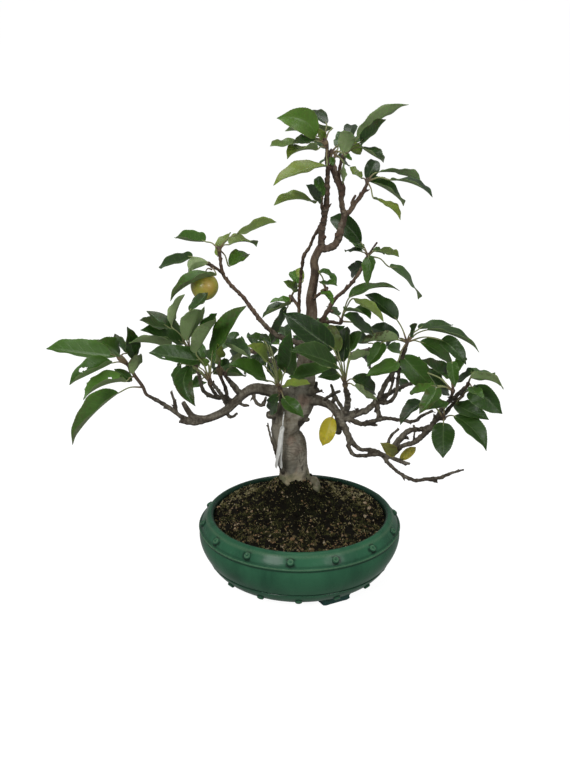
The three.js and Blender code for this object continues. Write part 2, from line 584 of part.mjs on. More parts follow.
/** The ways in which one leaf of a spray can lie, each on the same lines of the sheet. */
function leafChoices(record, index, heart, draw) {
  const { tip, base, width, under = false } = record;
  const spurDepth = heart.y;
  const unit = sheetUnit(heart);
  const shown = Math.hypot(tip[0] - base[0], tip[1] - base[1]) * unit;
  const full = record.full ?? LEAF.length * (0.92 + 0.2 * draw());
  const outward = spurDepth > 24 ? 1 : -1;
  const lean = record.lean ?? (index % 3 === 2 ? -outward : outward);
  const fold = LEAF.foldDegrees * (0.7 + 0.7 * draw());
  const arch = (record.arch ?? LEAF.arch) * (0.8 + 0.5 * draw());
  const phase = 2 * Math.PI * draw();
  return tipDepths(shown, full, lean).map((depth) => {
    const basePoint = sheetPoint(base[0], base[1], spurDepth + depth * 0.3);
    const tipPoint = sheetPoint(tip[0], tip[1], spurDepth + depth);
    const outwards = basePoint.clone().sub(heart).normalize();
    const origin = heart.clone().addScaledVector(outwards, SHOOT.stalkOffset);
    const leaf = { base: basePoint, tip: tipPoint, origin, fold, arch, phase };
    leaf.frame = bladeFrame(basePoint, tipPoint, width * unit, under);
    return leaf;
  });
}

/**
 * Sprays: each is a green shoot on the end of a limb, and its leaves. A leaf gives the tip and foot of its
 * blade on the sheet and the width that it shows there; under: true shows its underside; from: the
 * shoot's place that its stalk leaves, counted from the shoot's foot.
 */
const SPRAYS = [
  { name: "spray_left_tip", limb: "left_tip_branch",
    shoot: [[143, 387, -30], [135, 376, -31], [128, 365, -32], [119, 357, -33]],
    leaves: [
      { tip: [47, 347], base: [106, 353], width: 20, from: 3, lean: 1 },
      { tip: [98, 340], base: [119, 355], width: 13, under: true, from: 3 },
      { tip: [115, 333], base: [126, 351], width: 8, from: 3, full: 36 },
      { tip: [126, 328], base: [134, 357], width: 16, from: 2, full: 44 },
      { tip: [129, 342], base: [166, 347], width: 11, under: true, from: 2 },
      { tip: [69, 384], base: [112, 364], width: 13, from: 2, lean: -1 },
      { tip: [83, 399], base: [126, 381], width: 14, from: 1 },
      { tip: [131, 381], base: [114, 370], width: 9, from: 2, full: 34 },
      { tip: [69, 443], base: [118, 393], width: 16, from: 0, lean: -1 },
      { tip: [137, 355], base: [133, 371], width: 10, under: true, from: 1, full: 34 },
    ] },
  { name: "spray_left_mid", limb: "left_inner_twig", shoot: [[189, 350, -19]],
    leaves: [
      { tip: [143, 328], base: [180, 341], width: 14 },
      { tip: [140, 319], base: [166, 326], width: 8 },
      { tip: [148, 311], base: [184, 343], width: 14 },
      { tip: [185, 293], base: [171, 329], width: 9, under: true },
      { tip: [201, 307], base: [184, 341], width: 14, under: true },
      { tip: [207, 293], base: [197, 314], width: 10, full: 40 },
      { tip: [205, 312], base: [194, 336], width: 12, full: 46 },
    ] },
  { name: "spray_left_fore", limb: "left_fore_twig", shoot: [[210, 382, -48]],
    leaves: [
      { tip: [149, 352], base: [201, 363], width: 16 },
      { tip: [196, 406], base: [190, 367], width: 20 },
      { tip: [173, 383], base: [179, 363], width: 8, under: true, full: 38 },
      { tip: [214, 318], base: [199, 354], width: 10, under: true },
      { tip: [245, 305], base: [211, 356], width: 15 },
      { tip: [174, 350], base: [196, 372], width: 10 },
    ] },
  { name: "spray_left_upper", limb: "left_upper_twig", shoot: [[219, 368, -26]],
    leaves: [
      { tip: [251, 357], base: [224, 338], width: 13 },
      { tip: [218, 344], base: [220, 358], width: 10, full: 40 },
      { tip: [246, 377], base: [217, 371], width: 10 },
      { tip: [236, 331], base: [222, 350], width: 9, lean: 1 },
    ] },
  { name: "spray_left_arm", limb: "left_bough_arm", shoot: [[225, 374, -22]],
    leaves: [
      { tip: [208, 349], base: [220, 366], width: 10, lean: 1 },
      { tip: [243, 352], base: [230, 368], width: 9, under: true, full: 44, lean: 1 },
    ] },
  { name: "spray_left_back", limb: "left_back_twig", shoot: [[208, 377, 76]],
    leaves: [
      { tip: [183, 352], base: [199, 367], width: 14 },
      { tip: [196, 342], base: [203, 362], width: 14 },
      { tip: [222, 346], base: [212, 363], width: 14 },
      { tip: [178, 374], base: [197, 373], width: 12 },
      { tip: [230, 362], base: [217, 370], width: 12 },
      { tip: [190, 388], base: [201, 380], width: 12 },
    ] },
  { name: "spray_fruit_tip", limb: "fruit_branch", shoot: [[219, 249, 54]],
    leaves: [
      { tip: [175, 237], base: [203, 240], width: 12 },
      { tip: [231, 232], base: [219, 252], width: 8, under: true },
      { tip: [275, 221], base: [238, 234], width: 9, under: true },
      { tip: [257, 245], base: [231, 246], width: 9 },
      { tip: [249, 254], base: [231, 264], width: 13, lean: 1 },
    ] },
  { name: "spray_fruit_side", limb: "fruit_spur", shoot: [[212, 266, 44]],
    leaves: [
      { tip: [159, 266], base: [192, 259], width: 12 },
      { tip: [191, 276], base: [208, 265], width: 11, under: true, lean: 1 },
      { tip: [170, 300], base: [209, 276], width: 12, lean: -1 },
      { tip: [187, 254], base: [204, 262], width: 8, lean: 1 },
    ] },
  { name: "spray_crown_left", limb: "left_leader", shoot: [[327, 147, -7], [325, 141, -8]],
    leaves: [
      { tip: [276, 110], base: [312, 128], width: 22 },
      { tip: [285, 127], base: [321, 131], width: 9, under: true },
      { tip: [310, 110], base: [327, 124], width: 10, lean: 1 },
      { tip: [270, 145], base: [297, 141], width: 7, from: 1 },
      { tip: [293, 144], base: [313, 139], width: 8, from: 0, full: 40 },
      { tip: [287, 158], base: [315, 150], width: 10, under: true, from: 0, lean: -1 },
      { tip: [324, 112], base: [326, 127], width: 10, lean: 1 },
      { tip: [273, 184], base: [314, 165], width: 11, from: 0, lean: -1 },
    ] },
  { name: "spray_crown_middle", limb: "middle_shoot", shoot: [[331, 152, 1]],
    leaves: [
      { tip: [343, 130], base: [340, 149], width: 16, under: true },
      { tip: [351, 124], base: [348, 141], width: 13 },
      { tip: [344, 187], base: [343, 163], width: 5, full: 30 },
      { tip: [314, 160], base: [322, 154], width: 9, lean: -1, full: 44 },
      { tip: [354, 166], base: [343, 158], width: 6, lean: -1, full: 34 },
    ] },
  { name: "spray_crown_right", limb: "middle_arm", shoot: [[344, 156, 18]],
    leaves: [
      { tip: [408, 103], base: [362, 132], width: 12, under: true },
      { tip: [384, 119], base: [358, 142], width: 12 },
      { tip: [364, 151], base: [347, 149], width: 11, full: 42 },
      { tip: [384, 162], base: [360, 149], width: 7 },
      { tip: [366, 133], base: [351, 143], width: 8, lean: 1 },
    ] },
  { name: "spray_crown_back", limb: "crown_back_shoot", shoot: [[333, 160, 46]],
    leaves: [
      { tip: [318, 138], base: [327, 149], width: 12 },
      { tip: [336, 128], base: [334, 146], width: 13 },
      { tip: [352, 138], base: [341, 150], width: 12 },
      { tip: [324, 158], base: [330, 157], width: 10 },
      { tip: [346, 160], base: [338, 157], width: 10 },
    ] },
  { name: "spray_crown_low_left", limb: "crown_left_twig", shoot: [[321, 198, -8]],
    leaves: [
      { tip: [308, 184], base: [318, 193], width: 14, full: 46 },
      { tip: [274, 204], base: [308, 202], width: 9, lean: -1 },
      { tip: [306, 176], base: [317, 188], width: 10, lean: 1 },
    ] },
  { name: "spray_upper_shoot", limb: "right_shoot", shoot: [[367, 181, 28]],
    leaves: [
      { tip: [384, 167], base: [368, 179], width: 12, full: 40 },
      { tip: [421, 180], base: [383, 172], width: 8 },
      { tip: [433, 196], base: [392, 181], width: 8 },
      { tip: [403, 205], base: [373, 183], width: 11 },
      { tip: [352, 166], base: [361, 178], width: 7, full: 36 },
      { tip: [401, 219], base: [375, 199], width: 6, lean: -1 },
    ] },
  { name: "spray_upper_right", limb: "upper_right_branch", shoot: [[368, 256, 50]],
    leaves: [
      { tip: [330, 217], base: [361, 243], width: 17, lean: 1 },
      { tip: [345, 251], base: [362, 252], width: 5, full: 36 },
      { tip: [367, 285], base: [369, 263], width: 15, lean: -1 },
      { tip: [348, 271], base: [361, 263], width: 9 },
      { tip: [383, 250], base: [373, 251], width: 7, full: 36 },
      { tip: [399, 255], base: [380, 257], width: 7 },
      { tip: [420, 298], base: [393, 268], width: 8, arch: 0.25 },
      { tip: [354, 240], base: [363, 249], width: 9, lean: 1 },
    ] },
  { name: "spray_right_inner_high", limb: "upper_right_twig", shoot: [[341, 321, 19]],
    leaves: [
      { tip: [400, 290], base: [353, 295], width: 9, arch: 0.16 },
      { tip: [384, 321], base: [352, 300], width: 9, arch: 0.16, lean: -1 },
      { tip: [371, 318], base: [345, 310], width: 11, arch: 0.2, lean: -1 },
      { tip: [344, 314], base: [373, 333], width: 12, lean: -1, from: 0 },
      { tip: [331, 306], base: [338, 316], width: 9, lean: 1 },
    ] },
  { name: "spray_leader_left", limb: "slim_shoot_arm", shoot: [[291, 297, 51]],
    leaves: [
      { tip: [281, 287], base: [288, 293], width: 8, full: 34 },
      { tip: [284, 279], base: [290, 291], width: 7, full: 36, lean: -1 },
      { tip: [291, 270], base: [292, 289], width: 8, full: 40 },
      { tip: [270, 302], base: [285, 297], width: 7, full: 36 },
      { tip: [262, 317], base: [284, 302], width: 8, full: 44, lean: -1 },
      { tip: [268, 347], base: [287, 308], width: 9, arch: 0.2, lean: -1 },
    ] },
  { name: "spray_leader_fore", limb: "leader_twig", shoot: [[326, 289, 2]],
    leaves: [
      { tip: [318, 272], base: [325, 283], width: 6, full: 34 },
      { tip: [345, 283], base: [333, 286], width: 6, full: 34 },
      { tip: [320, 294], base: [324, 291], width: 7, full: 34 },
      { tip: [333, 302], base: [329, 294], width: 6, full: 30 },
    ] },
  { name: "spray_back_centre", limb: "back_bough", shoot: [[324, 345, 138]],
    leaves: [
      { tip: [300, 326], base: [315, 337], width: 14 },
      { tip: [322, 318], base: [322, 335], width: 15 },
      { tip: [344, 326], base: [332, 338], width: 14 },
      { tip: [306, 352], base: [317, 347], width: 12 },
      { tip: [316, 368], base: [321, 353], width: 12 },
    ] },
  { name: "spray_back_left", limb: "back_left_arm", shoot: [[287, 348, 124]],
    leaves: [
      { tip: [268, 336], base: [279, 344], width: 13 },
      { tip: [284, 326], base: [286, 340], width: 14 },
      { tip: [303, 338], base: [295, 344], width: 12 },
      { tip: [266, 354], base: [278, 350], width: 12 },
      { tip: [277, 371], base: [284, 356], width: 12 },
    ] },
  { name: "spray_back_right", limb: "back_right_bough", shoot: [[377, 347, 127]],
    leaves: [
      { tip: [358, 336], base: [368, 343], width: 13 },
      { tip: [376, 330], base: [377, 340], width: 13 },
      { tip: [394, 333], base: [386, 341], width: 13 },
      { tip: [400, 350], base: [387, 348], width: 12 },
      { tip: [368, 364], base: [373, 353], width: 12 },
    ] },
  { name: "spray_back_left_bough", limb: "back_left_bough", shoot: [[252, 351, 97]],
    leaves: [
      { tip: [236, 341], base: [245, 347], width: 12 },
      { tip: [252, 336], base: [253, 345], width: 12 },
      { tip: [266, 344], base: [260, 348], width: 12 },
      { tip: [232, 356], base: [243, 353], width: 12 },
      { tip: [244, 370], base: [249, 358], width: 12 },
    ] },
  { name: "spray_right_far_back", limb: "right_back_twig", shoot: [[417, 380, 84]],
    leaves: [
      { tip: [402, 366], base: [410, 374], width: 13 },
      { tip: [422, 360], base: [419, 372], width: 13 },
      { tip: [438, 372], base: [427, 377], width: 12 },
      { tip: [400, 386], base: [409, 383], width: 12 },
      { tip: [436, 390], base: [426, 385], width: 12 },
    ] },
  { name: "spray_front_left", limb: "front_left_twig", shoot: [[280, 389, -28]],
    leaves: [
      { tip: [290, 331], base: [284, 370], width: 20 },
      { tip: [248, 345], base: [268, 361], width: 12 },
      { tip: [230, 364], base: [265, 378], width: 16, lean: -1 },
      { tip: [253, 354], base: [265, 366], width: 8, full: 40, lean: 1 },
      { tip: [304, 417], base: [283, 399], width: 14, full: 46 },
      { tip: [271, 412], base: [277, 394], width: 12, full: 42 },
      { tip: [309, 384], base: [285, 388], width: 9, full: 46 },
      { tip: [279, 368], base: [278, 386], width: 7, full: 36, lean: 1 },
      { tip: [270, 362], base: [275, 380], width: 9, full: 40 },
      { tip: [266, 330], base: [274, 350], width: 11, lean: 1 },
      { tip: [249, 335], base: [264, 341], width: 8, full: 42, lean: 1 },
    ] },
  { name: "spray_front_right", limb: "front_right_twig", shoot: [[345, 384, -48]],
    leaves: [
      { tip: [284, 313], base: [333, 349], width: 24, lean: 1 },
      { tip: [300, 340], base: [336, 366], width: 15 },
      { tip: [288, 376], base: [332, 368], width: 15 },
      { tip: [347, 326], base: [344, 362], width: 16, lean: 1 },
      { tip: [318, 377], base: [335, 374], width: 12, full: 40 },
      { tip: [375, 392], base: [352, 379], width: 16 },
      { tip: [378, 399], base: [354, 387], width: 6, under: true },
      { tip: [366, 350], base: [350, 360], width: 10, under: true, full: 42 },
      { tip: [330, 324], base: [338, 352], width: 15, lean: 1 },
      { tip: [357, 330], base: [350, 352], width: 12, lean: 1 },
    ] },
  { name: "spray_right_upper", limb: "right_upper_bough", shoot: [[407, 342, 19]],
    leaves: [
      { tip: [364, 294], base: [397, 320], width: 16, lean: 1 },
      { tip: [376, 322], base: [399, 337], width: 13, full: 44 },
      { tip: [361, 344], base: [392, 337], width: 9, under: true, arch: 0.14 },
      { tip: [418, 323], base: [409, 332], width: 7, full: 36 },
      { tip: [453, 324], base: [420, 328], width: 9, arch: 0.18, lean: 1 },
      { tip: [480, 351], base: [427, 330], width: 12, arch: 0.16, lean: -1 },
      { tip: [446, 361], base: [413, 345], width: 14, arch: 0.16 },
      { tip: [442, 395], base: [406, 357], width: 24, lean: -1 },
      { tip: [366, 375], base: [397, 362], width: 14, lean: -1 },
      { tip: [367, 366], base: [382, 343], width: 14 },
      { tip: [467, 364], base: [440, 338], width: 13, arch: 0.14 },
    ] },
  { name: "spray_right_outer", limb: "right_end_spur", shoot: [[453, 391, -52]],
    leaves: [
      { tip: [423, 359], base: [448, 371], width: 13 },
      { tip: [453, 386], base: [452, 362], width: 11, full: 44 },
      { tip: [410, 390], base: [434, 386], width: 10 },
      { tip: [419, 413], base: [437, 388], width: 15 },
      { tip: [450, 391], base: [428, 373], width: 13, lean: 1 },
      { tip: [462, 356], base: [455, 374], width: 11, lean: 1 },
    ] },
  { name: "spray_right_end", limb: "right_outer_arm", shoot: [[468, 384, -47]],
    leaves: [
      { tip: [453, 385], base: [474, 373], width: 9, arch: 0.12 },
      { tip: [504, 389], base: [471, 378], width: 10, under: true, arch: 0.2 },
      { tip: [493, 374], base: [473, 374], width: 8, lean: 1 },
      { tip: [484, 398], base: [472, 387], width: 9, full: 44, lean: -1 },
    ] },
  { name: "spray_right_drop", limb: "right_outer_strand", shoot: [[462, 396, -24]],
    leaves: [
      { tip: [502, 414], base: [470, 392], width: 20, arch: 0.2 },
      { tip: [490, 420], base: [456, 405], width: 15, arch: 0.14, lean: -1 },
      { tip: [474, 384], base: [466, 392], width: 8, full: 38 },
    ] },
  { name: "spray_right_low", limb: "right_low_spur", shoot: [[444, 418, -48]],
    leaves: [
      { tip: [487, 451], base: [454, 416], width: 18, arch: 0.08 },
      { tip: [443, 458], base: [441, 424], width: 24 },
      { tip: [400, 424], base: [423, 402], width: 14, lean: 1 },
      { tip: [421, 409], base: [444, 401], width: 11, lean: -1 },
    ] },
];

/** Loose single leaves in colours of their own: a stalk that ends on a limb, and one blade. */
const LONE_LEAVES = [
  { name: "yellow_leaf", colour: COLOUR.yellowLeaf, origin: [335, 412, -3],
    leaf: { tip: [322.5, 446], base: [331, 418], width: 17, full: 32, arch: 0.04 } },
  { name: "withered_leaf_left", colour: COLOUR.witheredLeaf, origin: [395, 453, -20],
    leaf: { tip: [381, 443], base: [396, 453.5], width: 11, full: 20, arch: 0.1 } },
  { name: "withered_leaf_right", colour: COLOUR.witheredLeaf, origin: [399, 460, -20],
    leaf: { tip: [413, 446], base: [401, 456.5], width: 9, full: 20, arch: 0.1 } },
];

/** The places on a shoot that leaf stalks leave from, from its foot to its tip. */
function spursOf(spray) {
  return spray.shoot.map(([across, down, depth]) => sheetPoint(across, down, depth));
}

/** A shoot: it leaves its limb's end straight on, a small gap away, and ends in a bud past its last spur. */
function shoot(spray) {
  const path = LIMBS.find(({ name }) => name === spray.limb).path;
  const [before, end] = path.slice(-2).map(([across, down, depth]) => sheetPoint(across, down, depth));
  const along = end.clone().sub(before).normalize();
  const foot = end.clone().addScaledVector(along, GAP);
  const collar = end.clone().addScaledVector(along, GAP + SHOOT.collar);
  const spurs = spursOf(spray);
  const lastRun = spurs[spurs.length - 1].clone().sub(spurs[spurs.length - 2] ?? collar).normalize();
  const bud = spurs.pop().addScaledVector(lastRun, SHOOT.bud);
  const points = [foot, collar, ...spurs, bud];
  const radii = points.map((point, k) => THREE.MathUtils.lerp(SHOOT.radius, SHOOT.tipRadius, k / (points.length - 1)));
  return limb(points, radii, SHOOT.sides);
}

/** Whether a solid keeps clear of others, with the boxes tried first. */
function isClear(candidate, others, gap) {
  const box = candidate.boundingBox();
  return others.every((other) => {
    for (let i = 0; i < 3; i += 1) {
      if (box.min[i] > other.box.max[i] + gap || box.max[i] < other.box.min[i] - gap) return true;
    }
    return candidate.minGap(other.solid, gap) >= gap * 0.99;
  });
}

function withBox(solid) {
  return { solid, box: solid.boundingBox() };
}

/** Takes the first way for a leaf to lie that crosses nothing, or, failing that, nothing of another node. */
function settleLeaf(choices, foreign, own) {
  let fallback = null;
  for (const leaf of choices) {
    const solid = leafSolid(leaf);
    if (!isClear(solid, foreign, GAP)) continue;
    if (own.every((other) => solid.intersect(other).volume() < LEAF.sharedVolume)) return solid;
    fallback ??= solid;
  }
  return fallback;
}

/** All sprays, each fused to one solid, with every leaf clear of the other nodes. */
function sprays(obstacles) {
  const placed = [...obstacles];
  const shoots = SPRAYS.map((spray) => withBox(shoot(spray)));
  placed.push(...shoots);
  return SPRAYS.map((spray, s) => {
    const draw = seededNumbers(SEED.sprays + s);
    const foreign = placed.filter((other) => other !== shoots[s]);
    const spurs = spursOf(spray);
    const own = [];
    const parts = [shoots[s].solid];
    spray.leaves.forEach((record, index) => {
      const heart = spurs[Math.min(record.from ?? spurs.length - 1, spurs.length - 1)];
      const settled = settleLeaf(leafChoices(record, index, heart, draw), foreign, own);
      if (!settled) {
        console.warn(`no clear place: ${spray.name} leaf ${index}`);
        return;
      }
      own.push(settled);
      parts.push(settled);
    });
    for (const part of parts.slice(1)) placed.push(withBox(part));
    return { name: spray.name, solid: wasm.Manifold.union(parts) };
  });
}

/** A lone leaf, its stalk cut back to the limb that carries it. */
function loneLeaf(record, index, woodCutter) {
  const draw = seededNumbers(SEED.loneLeaves + index);
  const [leaf] = leafChoices(record.leaf, index, sheetPoint(...record.origin), draw);
  return leafSolid(leaf).subtract(woodCutter);
}

// ---------------------------------------------------------------- fruit and label

/** The crabapple: round, a little squat, dimpled at the stalk and at the eye, with its stalk. */
function crabapple() {
  const r = FRUIT.radius;
  const h = r * FRUIT.squat;
  const outline = [[0, -h * 0.86], [r * 0.2, -h * 0.95], [r * 0.52, -h * 0.9], [r * 0.86, -h * 0.5], [r, 0],
    [r * 0.9, h * 0.46], [r * 0.55, h * 0.88], [r * 0.24, h * 0.95], [0, h * 0.78]];
  const flesh = new THREE.LatheGeometry(outline.map(([x, y]) => new THREE.Vector2(x, y)), 14);
  flesh.rotateX(Math.PI / 2);
  flesh.rotateY(0.12);
  const centre = sheetPoint(FRUIT.across, FRUIT.down, FRUIT.depth);
  flesh.translate(centre.x, centre.y, centre.z);
  const route = [
    centre.clone().addScaledVector(UP, h * 0.6),
    sheetPoint(205.5, 272, FRUIT.depth),
    sheetPoint(208, 268.5, FRUIT.depth - 3),
    sheetPoint(212, 269.5, FRUIT.depth - 6),
  ];
  return wasm.Manifold.union([solidOf(flesh), limb(route, route.map(() => FRUIT.stalkRadius), 4)]);
}

/** The label: a bare thin strip that hangs by its loop against the trunk, under the left knot. */
function plantLabel(woodCutter) {
  const places = [[282.5, 426, -1], [281, 436, -1.5], [280, 446, -1], [279, 456, 1], [278, 467, 4]];
  const half = LABEL.width / 2;
  const rings = places.map(([across, down, depth], k) => {
    const centre = sheetPoint(across, down, depth);
    const turn = 0.3 + 0.25 * k;
    const wide = new THREE.Vector3(Math.cos(turn), -Math.sin(turn) * 0.6, 0).normalize().multiplyScalar(half);
    const thick = new THREE.Vector3(-wide.y, wide.x, 0).normalize().multiplyScalar(LABEL.thickness / 2);
    return [
      centre.clone().add(wide).add(thick),
      centre.clone().add(wide).sub(thick),
      centre.clone().sub(wide).sub(thick),
      centre.clone().sub(wide).add(thick),
    ];
  });
  const loop = [[282.5, 429, -1], [283, 421, -3], [283.6, 415.5, -1], [284, 412, 6]].map((place) => sheetPoint(...place));
  const strip = wasm.Manifold.union([solidOf(skin(rings)), limb(loop, loop.map(() => LABEL.loopRadius), 4)]);
  return strip.subtract(woodCutter);
}

// ---------------------------------------------------------------- assembly

const bonsai = new THREE.Group();
bonsai.name = "crabapple_bonsai";

function addPiece(name, solid, colour, roughness, metalness = 0) {
  const material = new THREE.MeshStandardMaterial({ color: colour, roughness, metalness });
  const mesh = new THREE.Mesh(geometryOf(solid), material);
  mesh.name = name;
  bonsai.add(mesh);
}

const woodSolid = wood();
const woodCutter = wood(GAP);
const fruitSolid = crabapple();
const labelSolid = plantLabel(woodCutter);
const loneSolids = LONE_LEAVES.map((record, index) => loneLeaf(record, index, woodCutter));

addPiece("pot", pot(), COLOUR.glaze, 0.25);
addPiece("soil", soil(woodCutter), COLOUR.soil, 0.95);
addPiece("trunk_and_branches", woodSolid, COLOUR.bark, 0.85);
addPiece("crabapple", fruitSolid, COLOUR.fruit, 0.4);
addPiece("plant_label", labelSolid, COLOUR.label, 0.5);
LONE_LEAVES.forEach(({ name, colour }, index) => addPiece(name, loneSolids[index], colour, 0.6));
for (const spray of sprays([woodSolid, fruitSolid, labelSolid, ...loneSolids].map(withBox))) {
  addPiece(spray.name, spray.solid, COLOUR.leaf, 0.6);
}

// The origin is on the floor, under the middle of the whole tree's box.
const box = new THREE.Box3().setFromObject(bonsai, true);
const middle = box.getCenter(new THREE.Vector3());
bonsai.position.set(-middle.x, -middle.y, -box.min.z);

export default bonsai;
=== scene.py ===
"""A crabapple bonsai in a green glazed drum pot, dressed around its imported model.

Sizes are in millimetres from the pot's axis, with +Z up and the tree's front at -Y, until a piece is
finished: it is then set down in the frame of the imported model, in metres. The tree is laid out on a front
elevation sheet, drawn in perspective from an eye that looks a little down on it, so a point of the tree
is given by its place on the sheet (across, down) and by its depth behind the pot's axis.
"""

import logging
import math
from dataclasses import dataclass, field, replace
from enum import Enum
from typing import Callable, Optional, Sequence

import bpy
import numpy as np
from mathutils import Matrix, Vector, kdtree, noise

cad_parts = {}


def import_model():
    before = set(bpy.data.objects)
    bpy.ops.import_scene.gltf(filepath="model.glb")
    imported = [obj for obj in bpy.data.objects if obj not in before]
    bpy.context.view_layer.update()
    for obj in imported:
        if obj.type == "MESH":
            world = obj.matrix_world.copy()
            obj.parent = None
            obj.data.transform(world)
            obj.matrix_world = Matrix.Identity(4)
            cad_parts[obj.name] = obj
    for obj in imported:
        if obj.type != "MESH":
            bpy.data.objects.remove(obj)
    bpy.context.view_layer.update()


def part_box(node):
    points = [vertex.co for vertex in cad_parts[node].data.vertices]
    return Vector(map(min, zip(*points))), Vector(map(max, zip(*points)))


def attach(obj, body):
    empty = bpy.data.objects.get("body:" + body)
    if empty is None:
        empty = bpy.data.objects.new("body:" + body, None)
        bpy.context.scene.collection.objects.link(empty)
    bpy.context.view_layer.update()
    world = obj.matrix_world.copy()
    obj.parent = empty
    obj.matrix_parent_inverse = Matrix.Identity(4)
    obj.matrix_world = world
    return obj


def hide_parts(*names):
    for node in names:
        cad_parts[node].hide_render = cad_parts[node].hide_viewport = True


LOG = logging.getLogger("bonsai")
MM = 0.001
TURN = 2 * math.pi
UP = np.array([0.0, 0.0, 1.0])

Place = tuple[float, ...]
Colour = tuple[float, float, float]
Rows = np.ndarray
Piece = bpy.types.Object
Socket = bpy.types.NodeSocket
Material = bpy.types.Material
Draw = np.random.Generator


# ---------- shader maths

# The Mix node's sockets for colours.
MIX_FACTOR, MIX_FIRST, MIX_SECOND, MIX_RESULT = 0, 6, 7, 2
EVEN = (1.0, 1.0, 1.0)


class Value:
    """A shader socket in an expression: each operation on it adds a node."""

    def __init__(self, recipe: "Recipe", socket: Socket) -> None:
        """Wraps an output socket that carries a number."""
        self.recipe = recipe
        self.socket = socket

    def math(self, operation: str, *operands: "Value | float") -> "Value":
        """Adds a Math node that works on its operands in their order."""
        return self.recipe.value("ShaderNodeMath", 0, dict(enumerate(operands)), operation=operation)

    def __add__(self, other: "Value | float") -> "Value":
        """Sum."""
        return self.math("ADD", self, other)

    def __radd__(self, other: float) -> "Value":
        """Sum with a number on the left."""
        return self.math("ADD", other, self)

    def __sub__(self, other: "Value | float") -> "Value":
        """Difference."""
        return self.math("SUBTRACT", self, other)

    def __rsub__(self, other: float) -> "Value":
        """Difference from a number on the left."""
        return self.math("SUBTRACT", other, self)

    def __mul__(self, other: "Value | float") -> "Value":
        """Product."""
        return self.math("MULTIPLY", self, other)

    def __rmul__(self, other: float) -> "Value":
        """Product with a number on the left."""
        return self.math("MULTIPLY", other, self)

    def __abs__(self) -> "Value":
        """Size without sign."""
        return self.math("ABSOLUTE", self)

    def fraction(self) -> "Value":
        """What is left above the whole number below."""
        return self.math("FRACT", self)

    def most(self, other: "Value | float") -> "Value":
        """The larger of two."""
        return self.math("MAXIMUM", self, other)

    def step(self, low: float, high: float) -> "Value":
        """A smooth step.

        Args:
            low: where it is 0.
            high: where it is 1; it may be below low.

        Returns:
            The step.
        """
        ends = {"From Min": min(low, high), "From Max": max(low, high)}
        rise = {"To Min": float(low > high), "To Max": float(low < high)}
        inputs = {"Value": self, **ends, **rise}
        return self.recipe.value("ShaderNodeMapRange", "Result", inputs, interpolation_type="SMOOTHSTEP")


